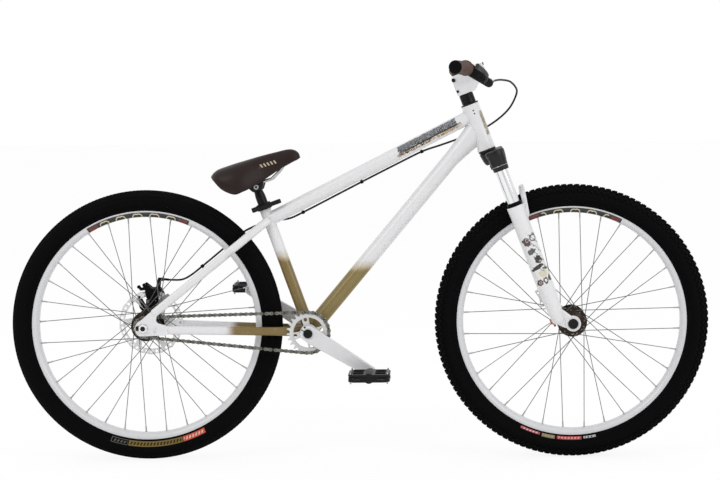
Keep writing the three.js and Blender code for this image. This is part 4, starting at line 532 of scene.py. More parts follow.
PEARL_GOLD = frame_paint()
LEG_WHITE = leg_paint()
FRONT_RIM_WHITE = rim_paint("rim_white_front", FRONT, 2.0, 24.5)
REAR_RIM_WHITE = rim_paint("rim_white_rear", REAR, -4.0, 27.0)
FRONT_RUBBER = tyre_rubber_paint("tyre_black_front", FRONT, 322, FRONT_LABELS)
REAR_RUBBER = tyre_rubber_paint("tyre_black_rear", REAR, 320, REAR_LABELS)
HIDE = leather_paint()
GRIP_BROWN = grip_paint()
PART_WHITE = worn("part_white", "white_paint", (0.67, 0.67, 0.685), 0.3,
                  coat=0.3, coat_roughness=0.15)
RING_WHITE = worn("ring_silver_white", "white_paint", (0.66, 0.66, 0.65), 0.36, 0.1, shade=0.1)
CROWN_BLACK = cast_black("crown_black", roughness=0.38, specular=0.3)
SATIN_BLACK = cast_black("satin_black")
LEVER_BLACK = cast_black("lever_black", roughness=0.34)
CABLE_BLACK = cast_black("cable_black", "black_plastic", (0.012, 0.012, 0.012), 0.5)
PLUG_BLACK = cast_black("plug_black", "black_plastic", (0.002, 0.002, 0.002), 0.5, specular=0.08)
PEDAL_BLACK = cast_black("pedal_black", "black_plastic", (0.006, 0.006, 0.006), 0.45)
SHELL_BLACK = cast_black("saddle_shell_black", "black_plastic", (0.014, 0.014, 0.014), 0.5)
POST_BLACK = cast_black("post_black", roughness=0.25, specular=0.15)
CHROME = worn("stanchion_chrome", "chrome", (0.80, 0.81, 0.82), 0.07, 1.0, spread=0.03, relief=0.01)
STEEL = worn("bare_steel", "steel", (0.50, 0.50, 0.50), 0.35, 1.0, shade=0.1)
DISC_STEEL = worn("disc_steel", "steel", (0.84, 0.84, 0.84), 0.45, 0.15, grain=3, shade=0.03)
CALIPER_BLACK = cast_black("caliper_black", colour=(0.003, 0.003, 0.003), specular=0.08)
CHAIN_STEEL = worn("chain_steel", "steel", (0.24, 0.235, 0.21), 0.32, 1.0, grain=3, shade=0.25)
SPOKE_STEEL = worn("spoke_steel", "dark_steel", (0.17, 0.17, 0.17), 0.35, 1.0)
BRONZE = worn("hub_bronze", "bronze_metal", (0.032, 0.022, 0.016), 0.34, 0.7, grain=4, shade=0.2,
              specular=0.3)
KNOB_RED = worn("knob_pink_red", "red_metal", (0.62, 0.16, 0.10), 0.4, 0.3, grain=2)
CHAIN_DARK = worn("chain_inner", "steel", (0.07, 0.07, 0.055), 0.42, 1.0, grain=3, shade=0.25)
BAR_RING = worn("plug_ring", "black_plastic", (0.50, 0.50, 0.50), 0.45)
CALIPER_GREY = worn("caliper_grey", "steel", (0.36, 0.36, 0.36), 0.4, 0.9, grain=3)


# Outlines
def circle(x, z, radius, steps, start=0.0):
    """Points all round a circle."""
    return [
        (x + radius * math.cos(start + 2 * math.pi * k / steps),
         z + radius * math.sin(start + 2 * math.pi * k / steps))
        for k in range(steps)
    ]


def arc(x, z, radius, first, last, steps):
    """Points on a round from one angle to another, both ends with them."""
    return [
        (x + radius * math.cos(a), z + radius * math.sin(a))
        for a in (first + (last - first) * k / steps for k in range(steps + 1))
    ]


def around(count, radius, start=0.0):
    """Places round a circle at the origin."""
    return circle(0, 0, radius, count, start)


def two_rounds(x, z, start_radius, end_radius, steps=14):
    """Outline round a circle at the origin and a smaller one at a point."""
    heading = math.atan2(z, x)
    flare = math.acos((start_radius - end_radius) / math.hypot(x, z))
    first, last = heading - flare, heading + flare
    return [
        *arc(x, z, end_radius, first, last, steps),
        *arc(0, 0, start_radius, last, first + 2 * math.pi, steps),
    ]


def bend(start, corner, end, steps):
    """Points of a curve from a start to an end that leans toward a corner."""
    start, corner, end = Vector(start), Vector(corner), Vector(end)
    return [
        tuple(start * (1 - t) ** 2 + corner * 2 * t * (1 - t) + end * t ** 2)
        for t in (k / steps for k in range(steps + 1))
    ]


def rounded(corners, radius, steps=6):
    """A polygon with its corners rounded off."""
    points = []
    count = len(corners)
    for i, corner in enumerate(corners):
        here = Vector(corner)
        before = Vector(corners[i - 1]) - here
        after = Vector(corners[(i + 1) % count]) - here
        cut = min(radius, before.length / 2.2, after.length / 2.2)
        points += bend(
            here + before.normalized() * cut, here, here + after.normalized() * cut, steps
        )
    return points


def box_outline(low_x, high_x, low_z, high_z, radius):
    """A rectangle with its corners rounded off."""
    return rounded([(low_x, low_z), (high_x, low_z), (high_x, high_z), (low_x, high_z)], radius, 4)


def wound(points, leftward):
    """Points of a closed outline, ordered to turn left round their inside, or right."""
    area = sum(
        a[0] * b[1] - b[0] * a[1] for a, b in zip(points, [*points[1:], points[0]])
    )
    return list(points) if (area > 0) == leftward else list(points)[::-1]


def drawn_in(points, distance):
    """An outline moved to its left by a distance."""
    moved = []
    count = len(points)
    for i, point in enumerate(points):
        here = Vector(point)
        a = (here - Vector(points[i - 1])).normalized()
        b = (Vector(points[(i + 1) % count]) - here).normalized()
        left = Vector((-a.y - b.y, a.x + b.x))
        if left.length < 0.2:
            left = Vector((-a.y, a.x))
        left.normalize()
        reach = distance / max(left.dot(Vector((-a.y, a.x))), 0.5)
        moved.append(tuple(here + left * reach))
    return moved


def smooth_line(points, steps=8):
    """A curve through points, as closer points."""
    knots = [Vector(p) for p in points]
    knots = [knots[0] * 2 - knots[1], *knots, knots[-1] * 2 - knots[-2]]
    line = []
    for a, b, c, d in zip(knots, knots[1:], knots[2:], knots[3:]):
        for k in range(steps):
            t = k / steps
            line.append(
                (b * 2 + (c - a) * t + (a * 2 - b * 5 + c * 4 - d) * t * t
                 + (b * 3 - a - c * 3 + d) * t ** 3) / 2
            )
    line.append(knots[-2])
    return line


VIEWS = {
    "side": lambda u, v, w: (u, w, v),
    "front": lambda u, v, w: (w, u, v),
    "top": lambda u, v, w: (u, v, w),
}
AXES = {
    "X": lambda c, s, w: (w, c, s),
    "Y": lambda c, s, w: (c, w, s),
    "Z": lambda c, s, w: (c, s, w),
}


# Radius of a ring that closes up on its axis
THIN = 0.01


class Piece:
    """A piece drawn in millimetres in its carrier's frame, one finish at a time."""

    def __init__(self, where):
        self.bm = bmesh.new()
        self.where = where
        self.finish = 0

    def dress(self, finish):
        """Faces drawn from here on take this finish, counted from 0."""
        self.finish = finish
        return self

    def face(self, *corners):
        """A face in the finish of the moment."""
        self.bm.faces.new(corners).material_index = self.finish

    def skin(self, rings, loop=False):
        """Faces between rings of equal count, with flat ends unless the rings close up."""
        made = [[self.bm.verts.new(p) for p in ring] for ring in rings]
        self.walls([*made, made[0]] if loop else made)
        if not loop:
            self.face(*reversed(made[0]))
            self.face(*made[-1])
        return self

    def walls(self, rings):
        """Faces from each ring of made corners to the next."""
        for a, b in zip(rings, rings[1:]):
            for i, corner in enumerate(a):
                j = (i + 1) % len(a)
                self.face(corner, a[j], b[j], b[i])

    def turned(self, outline, steps=48, at=(0, 0, 0), along="Y", closed=False, side=1):
        """A round body from [radius, place] points along an axis, to one side of a point."""
        put = AXES[along]
        rings = [
            [Vector(at) + Vector(put(x, y, side * place))
             for x, y in around(steps, max(radius, THIN))]
            for radius, place in outline
        ]
        return self.skin(rings, loop=closed)

    def tube(self, points, sizes, sides=24, across=None, loop=False, power=1.0):
        """A tube along points. A size is a radius, or a half width and a half height."""
        points = [Vector(p) for p in points]
        last = len(points) - 1
        if isinstance(sizes, (int, float)):
            sizes = [sizes] * len(points)
        side = None
        rings = []
        for i, point in enumerate(points):
            before = points[i - 1] if i or loop else None
            after = points[(i + 1) % len(points)] if i < last or loop else None
            way = Vector()
            if before is not None:
                way += (point - before).normalized()
            if after is not None:
                way += (after - point).normalized()
            way.normalize()
            side = Vector(across) if across else side or way.orthogonal()
            side = (side - way * side.dot(way)).normalized()
            up = way.cross(side)
            size = sizes[i]
            half, tall = size if isinstance(size, (tuple, list)) else (size, size)
            ring = []
            for x, y in around(sides, 1.0, math.pi / sides):
                x = math.copysign(abs(x) ** power, x)
                y = math.copysign(abs(y) ** power, y)
                ring.append(point + side * half * x + up * tall * y)
            rings.append(ring)
        return self.skin(rings, loop=loop)

    def plate(self, outline, low, high, holes=(), bevel=0.6, view="side"):
        """A flat plate from an outline and its holes, with softened edges."""
        low, high = sorted((low, high))
        put = VIEWS[view]
        levels = [(low, 1), (low + bevel, 0), (high - bevel, 0), (high, 1)]
        if bevel >= 2:
            levels[1:1] = [(low + bevel * 0.3, 0.3)]
            levels[-1:-1] = [(high - bevel * 0.3, 0.3)]
        loops = [wound(outline, True), *[wound(hole, False) for hole in holes]]
        caps = ([], [])
        for points in loops:
            rings = [
                [self.bm.verts.new(put(u, v, w)) for u, v in drawn_in(points, bevel * cut)]
                if cut and bevel else [self.bm.verts.new(put(u, v, w)) for u, v in points]
                for w, cut in levels
            ]
            self.walls(rings)
            for cap, ring in zip(caps, (rings[0], rings[-1])):
                cap.append(ring)
        for cap in caps:
            if len(cap) == 1:
                self.face(*cap[0])
                continue
            edges = [
                self.bm.edges.get((ring[i - 1], corner))
                for ring in cap for i, corner in enumerate(ring)
            ]
            filled = bmesh.ops.triangle_fill(self.bm, use_beauty=True, edges=edges)
            for item in filled["geom"]:
                if isinstance(item, bmesh.types.BMFace):
                    item.material_index = self.finish
        return self

    def bolt(self, at, radius, height, along="Y", side=1, socket=0.5):
        """A socket bolt head that stands out from a point."""
        hole = radius * socket
        out = [(radius, 0), (radius, height * 0.8), (radius * 0.88, height), (hole, height),
               (hole, height * 0.35), (0, height * 0.35)]
        return self.turned(out, 20, at, along, side=side)

    def flip(self):
        """Moves all of it to the other side of the bike."""
        for v in self.bm.verts:
            v.co.y = -v.co.y

    def done(self, name, body, finishes, *nodes, sharp=38):
        """Makes the object in the row frame: its body and the nodes it replaces."""
        bm = self.bm
        bmesh.ops.remove_doubles(bm, verts=bm.verts, dist=0.002)
        bmesh.ops.recalc_face_normals(bm, faces=bm.faces)
        bmesh.ops.transform(bm, matrix=self.where, verts=bm.verts)
        mesh = bpy.data.meshes.new(name)
        bm.to_mesh(mesh)
        bm.free()
        for finish in finishes:
            mesh.materials.append(finish.material)
        mesh.shade_smooth()
        mesh.set_sharp_from_angle(angle=math.radians(sharp))
        piece = bpy.data.objects.new(name, mesh)
        bpy.context.scene.collection.objects.link(piece)
        if body:
            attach(piece, body)
        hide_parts(*nodes)
        return piece


# Wheels
# Both wheels, front and rear: the first spoke's angle, and how far out the flanges stand
RIM_OUTER = 286
SPOKE_COUNT = 32
SPOKE_STEP = 2 * math.pi / SPOKE_COUNT
SPOKE_CROSS = math.radians(67.5)
SPOKE_HOLES, NIPPLE_SEATS = 30, 267.5
FLANGE_THICK = 3.5
RIM_SPREAD = 4.0
FIRST_SPOKE = {"front": math.radians(6.6), "rear": math.radians(9.15)}
FLANGES = {"front": (33, 27), "rear": (31, 33)}


def casing_line(radius, width, block):
    """Half of a tyre's outside, from the crown out to the bead, as close points."""
    height = radius - block - RIM_OUTER
    shares = [(1, 0), (0.985, 0.22), (0.93, 0.47), (0.82, 0.73), (0.6, 0.96), (0.42, 0.98),
              (0.22, 0.83), (0.06, 0.58)]
    points = [(RIM_OUTER + up * height, out * width / 2, 0) for up, out in shares]
    points += [(RIM_OUTER - 4, 12.5, 0), (RIM_OUTER - 8, 12.3, 0)]
    return [(p.x, p.y) for p in smooth_line(points, 5)]


def along_casing(line, distance):
    """Place and outward direction at a distance from the crown along a casing's line."""
    gone = 0
    for a, b in zip(line, line[1:]):
        step = math.dist(a, b)
        if gone + step >= distance:
            t = (distance - gone) / step
            way = Vector((b[0] - a[0], b[1] - a[1])).normalized()
            return Vector(a).lerp(Vector(b), t), Vector((way.y, -way.x))
        gone += step
    return Vector(line[-1]), Vector((0, 1))


def tread_block(piece, spot, outward, angle, length, width, height, skew):
    """One tread block, square to the casing and narrower at its top."""
    top = 0.78
    along = Vector((outward.y, -outward.x))
    corners = []
    for lift, share in ((-1.0, 1.0), (height * 0.75, (1 + top) / 2), (height, top)):
        ring = []
        for side, end in ((-1, -1), (1, -1), (1, 1), (-1, 1)):
            flat = spot + along * side * width / 2 * share + outward * lift
            swing = angle + (end * length / 2 * share + skew * side) / spot.x
            ring.append((flat.x * math.cos(swing), flat.y, flat.x * math.sin(swing)))
        corners.append(ring)
    piece.skin(corners)


def tyre(wheel, where, radius, width, high, rows, finish):
    """A casing with two ridges on each side, and its rows of tread blocks."""
    piece = Piece(where)
    line = casing_line(radius, width, high)
    whole = line[::-1] + [(r, -y) for r, y in line[1:]]
    inner = [(r - 3, y * 0.86) for r, y in whole[8:-8]][::-1]
    piece.turned(whole + inner, 144, closed=True)
    for r, y in (line[-14], line[-17]):
        for side in (-1, 1):
            ridge = [(r - 0.9, y - 0.4), (r, y + 0.7), (r + 0.9, y - 0.4)]
            piece.turned(ridge, 144, closed=True, side=side)
    chance = random.Random(7)
    for distance, count, length, wide, height, shift, skew in rows:
        spot, outward = along_casing(line, distance)
        for side in ((-1, 1) if distance else (1,)):
            place = Vector((spot.x, side * spot.y))
            away = Vector((outward.x, side * outward.y))
            for k in range(count):
                angle = 2 * math.pi * (k + shift) / count
                long = length * (1 + chance.uniform(-0.04, 0.04))
                tread_block(piece, place, away, angle, long, wide, height, skew)
    piece.done(f"tyre_{wheel}", f"{wheel}_wheel", [finish], f"{wheel}_tyre", sharp=30)


def rim(wheel, where, finish):
    """A hollow rim with an eyelet for each spoke."""
    half = [(268.6, 0), (268.8, 5.5), (270.2, 8.6), (276, 13.6), (278, 14.6), (280.5, 15),
            (283.7, 15), (284.7, 14.6), (284.7, 13.2), (283.7, 12.6), (277.6, 12.6), (276.8, 11.6)]
    outline = half + [(r, -y) for r, y in half[:0:-1]]
    piece = Piece(where).turned(outline, 160, closed=True)
    piece.dress(1)
    for k in range(SPOKE_COUNT):
        angle = SPOKE_STEP * k + FIRST_SPOKE[wheel]
        add_eyelet(piece, angle, RIM_SPREAD * (-1 if k % 2 == 0 else 1))
    piece.done(f"rim_hoop_{wheel}", f"{wheel}_wheel", [finish, STEEL], f"{wheel}_rim")


def add_eyelet(piece, angle, y):
    """A small round collar where a nipple enters the rim."""
    way = Vector((math.cos(angle), 0, math.sin(angle)))
    base = way * 268.2 + Vector((0, y, 0))
    piece.tube([base + way, base - way * 0.8], [3.6, 3.0], 14)


def spokes(wheel, where, flange_y, side, hand):
    """One flange's sixteen spokes: bent heads in the flange, and nipples in the rim."""
    piece = Piece(where)
    first = 0 if side < 0 else 1
    for k in range(SPOKE_COUNT // 2):
        rim_angle = FIRST_SPOKE[wheel] + SPOKE_STEP * (2 * k + first)
        turn = 1 if k % 2 == 0 else -1
        hub_angle = rim_angle + turn * SPOKE_CROSS
        face = side * (flange_y + (1.3 if turn > 0 else -FLANGE_THICK - 1.3))
        head = side * (flange_y + (-FLANGE_THICK - 1.7 if turn > 0 else 1.2))
        hole = Vector((math.cos(hub_angle), 0, math.sin(hub_angle))) * SPOKE_HOLES
        seat = Vector((math.cos(rim_angle), 0, math.sin(rim_angle))) * NIPPLE_SEATS
        seat.y = side * RIM_SPREAD
        start = hole + Vector((0, face, 0))
        way = (seat - start).normalized()
        piece.dress(0).tube(
            [hole + Vector((0, head, 0)), hole + Vector((0, (face * 3 + head) / 4, 0)),
             start + way * 1.2, start + way * 4, seat - way * 13],
            [1.0, 1.0, 1.0, 1.0, 0.95], 8)
        piece.turned([(0, 0), (1.9, 0.2), (1.9, 0.9), (0, 1.3)], 10, hole + Vector((0, head, 0)))
        piece.dress(1).tube([seat - way * 14, seat - way * 12.5, seat - way * 4, seat + way],
                            [1.3, 1.75, 1.9, 1.9], 8)
    piece.done(f"spokes_{wheel}_{hand}", f"{wheel}_wheel", [SPOKE_STEEL, STEEL],
               f"{wheel}_spokes_{hand}")


def flanges(piece, wheel):
    """A hub's two flanges, with the holes of the spokes."""
    holes = [circle(x, z, 1.5, 10) for x, z in around(SPOKE_COUNT // 2, SPOKE_HOLES)]
    for (side, _), face in zip(SIDES, FLANGES[wheel]):
        piece.plate(circle(0, 0, 36.9, 72), side * face, side * (face - FLANGE_THICK),
                    [circle(0, 0, 15, 36), *holes], 0.8)


def front_hub():
    """A slim shell between two flanges, with six thin black discs on its left end as painted shade
    for six holes.
    """
    piece = Piece(FRONT)
    piece.turned([(10.3, -54), (12, -54.4), (14, -50), (16, -46), (17.5, -38), (24, -34.5),
                  (30, -32.4), (30, -30.6), (22, -28), (17, -20), (15.5, -8), (15.5, 6), (17, 15),
                  (23, 23), (30, 25), (30, 26.6), (22, 28), (18, 32), (19, 33.5), (23.4, 34),
                  (24, 34.6), (24, 39.4), (23.4, 40), (12, 40), (12, 54), (10.3, 54)], 64,
                 closed=True)
    flanges(piece, "front")
    # Six thin black discs on the left end: painted shade where the holes are, not cut holes.
    for x, z in around(6, 19.5):
        piece.dress(1).turned([(0, 40.05), (2.6, 40.05), (2.6, 40.2), (0, 40.2)], 14, (x, 0, z))
    piece.done("hub_shell_front", "front_wheel", [BRONZE, PLUG_BLACK], "front_hub")


def rear_hub():
    """A shell between two flanges, with the mount of the disc on its left."""
    piece = Piece(REAR)
    piece.turned([(6.4, -35.6), (17, -35.6), (17.6, -34.5), (26, -31.6), (30, -30.4), (30, -28.6),
                  (22, -26), (16.5, -18), (15, -6), (15, 8), (16.5, 20), (22, 28.6), (30, 30.6),
                  (30, 32.6), (22, 34), (19, 37), (18, 42), (20, 44), (24, 44.6), (24, 50.6),
                  (13.6, 50.7), (13.6, 54), (9.4, 58), (9, 66.6), (6.4, 66.6)], 64, closed=True)
    flanges(piece, "rear")
    piece.done("hub_shell_rear", "rear_wheel", [BRONZE], "rear_hub")


def brake_disc():
    """A wavy disc with six windows, a row of holes and six bolts."""
    piece = Piece(REAR)
    windows = [
        rounded(arc(0, 0, 66, middle + 0.4, middle - 0.4, 10)
                + arc(0, 0, 29, middle - 0.7, middle - 0.14, 5), 3, 2)
        for middle in (math.pi / 3 * (k + 0.5) for k in range(6))
    ]
    bolts = around(6, 22, 0.5)
    holes = [circle(x, z, 3.5, 12) for x, z in around(36, 73.2)]
    inner = [circle(x, z, 2.4, 10) for x, z in bolts]
    edge = []
    for k in range(216):
        a = 2 * math.pi * k / 216
        radius = 80 - 0.9 * math.cos(18 * a)
        edge.append((radius * math.cos(a), radius * math.sin(a)))
    piece.plate(edge, 51.1, 52.9, [circle(0, 0, 14, 30), *holes, *inner, *windows], 0.2)
    for x, z in bolts:
        piece.dress(1).bolt((x, 53, z), 4, 2.6)
    piece.done("disc_rear", "rear_wheel", [DISC_STEEL, SATIN_BLACK], "brake_disc")


CHAIN_PITCH, CHAIN_LINE = 12.7, -48
RING_TEETH, COG_TEETH = 25, 12
RING_RADIUS, COG_RADIUS = (
    CHAIN_PITCH / (2 * math.sin(math.pi / teeth)) for teeth in (RING_TEETH, COG_TEETH)
)
TOOTH_PLATE = (CHAIN_LINE - 1.6, CHAIN_LINE + 1.6)
TOOTH_TIP, TOOTH_ROOT = 3.4, -4.2
HALF_TOOTH = [(0.05, TOOTH_TIP), (0.12, TOOTH_TIP * 0.75), (0.27, TOOTH_ROOT * 0.75),
              (0.36, TOOTH_ROOT)]
TOOTH = [(-share, high) for share, high in HALF_TOOTH[::-1]] + HALF_TOOTH


def toothed(teeth, pitch_radius):
    """Outline of a toothed wheel, in whole teeth round its pitch circle."""
    points = []
    for k in range(teeth):
        for share, high in TOOTH:
            a = 2 * math.pi * (k + share) / teeth
            radius = pitch_radius + high
            points.append((radius * math.cos(a), radius * math.sin(a)))
    return points


def rear_cog():
    """A toothed plate on its driver."""
    piece = Piece(REAR)
    piece.plate(toothed(COG_TEETH, COG_RADIUS), *TOOTH_PLATE, [circle(0, 0, 11, 24)], 0.4)
    piece.turned([(6.4, -36), (16.6, -36), (17, -36.4), (17, -46), (13.5, -46.6), (13.5, -51.6),
                  (12.6, -52.6), (9, -52.8), (9, -66.9), (6.4, -66.9)], 36, closed=True)
    piece.done("cog_toothed", "rear_cog", [CHAIN_STEEL], "rear_cog")


# Rows of tread blocks: distance from the crown, count, length, width, height, shift, skew
FRONT_ROWS = [
    (0, 66, 9, 7.5, 3.7, 0.0, 0.0), (0, 66, 9, 7.5, 3.7, 0.5, 0.0),
    (7.5, 132, 7.5, 5.0, 3.6, 0.25, 0.8), (14.5, 132, 8.5, 5.5, 3.5, 0.75, -0.8),
    (22, 132, 8.0, 6.0, 3.2, 0.25, 0.6), (29, 132, 9.0, 6.0, 2.8, 0.75, 0.0),
]
REAR_ROWS = [
    (0, 220, 6.0, 4.0, 1.2, 0.0, 0.0), (5.2, 220, 6.4, 3.4, 1.2, 0.5, 0.8),
    (10.2, 220, 6.0, 3.4, 1.2, 0.0, -0.8), (15.4, 220, 6.4, 3.6, 1.3, 0.5, 0.8),
    (21, 220, 5.0, 4.4, 1.4, 0.0, 0.0), (27, 220, 4.2, 4.6, 1.2, 0.5, 0.0),
]
tyre("front", FRONT, 339.2, 58, 3.7, FRONT_ROWS, FRONT_RUBBER)
tyre("rear", REAR, 335.4, 54, 1.2, REAR_ROWS, REAR_RUBBER)
rim("front", FRONT, FRONT_RIM_WHITE)
rim("rear", REAR, REAR_RIM_WHITE)
for wheel, where in (("front", FRONT), ("rear", REAR)):
    for (side, hand), face in zip(SIDES, FLANGES[wheel]):
        spokes(wheel, where, face, side, hand)
for make in (front_hub, rear_hub, brake_disc, rear_cog):
    make()


# Frame
def on_seat_tube(t):
    """Point on the seat tube's axis, up from the crank."""
    return Vector((CRANK_X - t * SEAT_SIN, 0, CRANK_Z + t * SEAT_COS))


def on_head_tube(t):
    """Point on the head tube's axis, up from its lower end."""
    return Vector((HEAD_X - t * HEAD_SIN, 0, HEAD_Z + t * HEAD_COS))


def weld_bead(piece, points, radius):
    """A bead of small overlapping ripples along a closed seam."""
    ripple = 2.4
    line = smooth_line([*points, points[0]], 6)
    close = []
    for a, b in zip(line, line[1:]):
        steps = max(round((b - a).length / 0.9), 1)
        close += [a.lerp(b, k / steps) for k in range(steps)]
    sizes = [radius * (0.86 + 0.26 * abs(math.sin(k * math.pi * 0.9 / ripple)))
             for k in range(len(close))]
    piece.tube(close, sizes, 7, loop=True)


def tube_seam(start, way, radius, meets, tall=None):
    """Points of the seam where a tube along a way meets another surface."""
    way = way.normalized()
    up = ACROSS.cross(way)
    tall = tall or (radius, radius)
    points = []
    for x, y in around(20, 1.0):
        offset = ACROSS * radius * x + up * (tall[0] if y > 0 else tall[1]) * y
        points.append(meets(start + offset, way))
    return points


def cylinder_hit(centre, axis, radius):
    """A function that finds where a ray from a point leaves a round tube."""
    axis = axis.normalized()

    def hit(start, way):
        flat = way - axis * way.dot(axis)
        gap = start - centre
        gap = gap - axis * gap.dot(axis)
        a, b, c = flat.dot(flat), 2 * flat.dot(gap), gap.dot(gap) - radius * radius
        root = math.sqrt(max(b * b - 4 * a * c, 0))
        return start + way * (-b + root) / (2 * a)

    return hit


ACROSS = Vector((0, 1, 0))
UP_SEAT = Vector((-SEAT_SIN, 0, SEAT_COS))
UP_HEAD = Vector((-HEAD_SIN, 0, HEAD_COS))
BB_POINT = Vector((CRANK_X, 0, CRANK_Z))
TOP_START, TOP_END = on_seat_tube(293), on_head_tube(91)
DOWN_START, DOWN_END = BB_POINT, on_head_tube(60)
STAY_FOOT, STAY_TOP = Vector((REAR_X + 25.2, 0, REAR_Z + 35.6)), on_seat_tube(293)
TOP_RADIUS, DOWN_RADIUS, SHELL_RADIUS = 17, 19.5, 20
SEAT_RADIUS, SEAT_BORE = 14.3, 12.8
HEAD_RADIUS, HEAD_END_RADIUS, HEAD_BORE = 21.6, 22, 17.4
DOWN_ABOVE, DOWN_BELOW = 5.1, 20.5


def across_tube(centre, way, radius, steps):
    """A ring of a tube that leans in the side view."""
    aside = way.cross(ACROSS)
    return [centre + ACROSS * radius * x + aside * radius * z for x, z in around(steps, 1.0)]


def top_and_down_tubes(piece):
    """The top tube, and the down tube, which grows deeper toward the head tube."""
    piece.tube([TOP_START, TOP_END], TOP_RADIUS, 48)
    up = ACROSS.cross(DOWN_END - DOWN_START).normalized()
    up = up if up.z > 0 else -up
    rings = []
    for share, growth in ((0, 0), (0.5, 0), (0.84, 0), (0.885, 0.2), (0.93, 0.45), (0.965, 0.72),
                          (1, 1)):
        centre = DOWN_START.lerp(DOWN_END, share)
        above, below = DOWN_RADIUS + growth * DOWN_ABOVE, DOWN_RADIUS + growth * DOWN_BELOW
        rings.append([
            centre + ACROSS * DOWN_RADIUS * x + up * (above if z > 0 else below) * z
            for x, z in around(48, 1.0)
        ])
    piece.skin(rings)


def seat_and_head_tubes(piece):
    """The seat tube, open for its post, and the head tube with its two thicker ends."""
    top = on_seat_tube(333.7)
    piece.skin([
        across_tube(centre, UP_SEAT, radius, 40)
        for centre, radius in (
            (on_seat_tube(95), SEAT_BORE), (top, SEAT_BORE), (top, SEAT_RADIUS - 0.2),
            (top - UP_SEAT * 0.4, SEAT_RADIUS), (on_seat_tube(0), SEAT_RADIUS),
        )
    ])
    piece.skin([
        across_tube(on_head_tube(up), UP_HEAD, radius, 64)
        for up, radius in (
            (0, HEAD_BORE), (0, HEAD_RADIUS), (0.5, HEAD_END_RADIUS), (9, HEAD_END_RADIUS),
            (10, HEAD_RADIUS), (107, HEAD_RADIUS), (108, HEAD_END_RADIUS),
            (116.5, HEAD_END_RADIUS), (117, HEAD_RADIUS), (117, HEAD_BORE),
        )
    ], loop=True)


def bottom_shell(piece):
    """The open shell that the crank turns in."""
    piece.turned([(17.1, -34), (19.6, -34), (SHELL_RADIUS, -33.6), (SHELL_RADIUS, 33.6),
                  (19.6, 34), (17.1, 34)], 64, BB_POINT, closed=True)


# Chainstay: its ends in the side view, and its places from the shell to the dropout
CHAINSTAY = ((-125.3, 319.2), (-498.7, 331.0))
CHAINSTAY_ROUTE = [(-125.3, 21), (-150, 27), (-181.8, 34.3), (-232.3, 41), (-313.8, 47),
                   (-406.3, 57), (-498.7, 67.8)]
SEATSTAY_SHARES = [(0, 67.8), (0.223, 66), (0.5, 56.5), (0.824, 43), (0.93, 31), (1, 18)]
STAY_STEPS = 5


def stays(piece, side):
    """A chainstay, which grows deeper toward the shell, and a seatstay."""
    (start_x, start_z), (end_x, end_z) = CHAINSTAY
    level = (end_z - start_z) / (start_x - end_x)
    slim_from = -192.3
    centres, sizes = [], []
    for x, y in CHAINSTAY_ROUTE:
        growth = max((x - slim_from) / (start_x - slim_from), 0)
        centres.append((x, side * y, start_z + (CRANK_X - x) * level))
        sizes.append((7.5, 10.5 + 4.5 * growth))
    line = smooth_line(centres, STAY_STEPS)
    spread = []
    for i in range(len(line)):
        k = min(i // STAY_STEPS, len(sizes) - 2)
        t = i / STAY_STEPS - k
        spread.append(tuple(a + (b - a) * t for a, b in zip(sizes[k], sizes[k + 1])))
    piece.tube(line, spread, 28, across=ACROSS, power=0.8)
    line = smooth_line([
        STAY_FOOT.lerp(STAY_TOP, share) + ACROSS * side * y for share, y in SEATSTAY_SHARES
    ], STAY_STEPS)
    piece.tube(line, [(8, 10)] * len(line), 28, across=ACROSS, power=0.85)


def dropout(piece, side):
    """The plate at a stay's end, with its slot for the axle."""
    shares = [(-1, 0.05), (-0.85, -0.65), (-0.5, -1), (0.75, -0.92), (1, -0.8), (1, 0.1),
              (0.5, 0.27), (0.62, 0.94), (0.3, 0.78), (-0.2, 0.4), (-0.75, 0.26)]
    behind, ahead, below, above = 21, 60, 19.5, 52
    corners = [
        (REAR_X + (behind if u < 0 else ahead) * u, REAR_Z + (below if v < 0 else above) * v)
        for u, v in shares
    ]
    quarter = math.pi / 2
    slot = (arc(REAR_X, REAR_Z, 6.3, -quarter, quarter, 12)
            + arc(REAR_X - 14, REAR_Z, 6.3, quarter, 3 * quarter, 12))
    piece.plate(rounded(corners, 9), side * 67.5, side * 74, [slot], 1.0)


def frame_piece():
    """All the tubes, plates and welds of the frame, as one piece."""
    piece = Piece(BIKE)
    top_and_down_tubes(piece)
    seat_and_head_tubes(piece)
    bottom_shell(piece)
    for side, _ in SIDES:
        stays(piece, side)
        dropout(piece, side)
        foot_weld(piece, side)
    bridges(piece)
    frame_welds(piece)
    piece.done("frame_tubes", "frame", [PEARL_GOLD], "frame")


def bridges(piece):
    """A short tube between the chainstays, and one between the seatstays."""
    low = Vector((-174.3, 0, CHAINSTAY[0][1]))
    high = STAY_FOOT.lerp(STAY_TOP, 0.902)
    for centre, half in ((low, 34.3), (high, 34)):
        piece.tube([centre - ACROSS * half, centre + ACROSS * half], 6, 24)


def foot_weld(piece, side):
    """The bead round a chainstay's end on its dropout."""
    end_x, end_z = CHAINSTAY[1]
    foot = Vector((end_x, side * 67.8, end_z))
    ring = (2 * math.pi * k / 16 for k in range(16))
    weld_bead(piece, [
        foot + Vector((3 * math.sin(3 * a), side * 1.2 + 7.4 * math.cos(a), 11 * math.sin(a)))
        for a in ring
    ], 1.2)


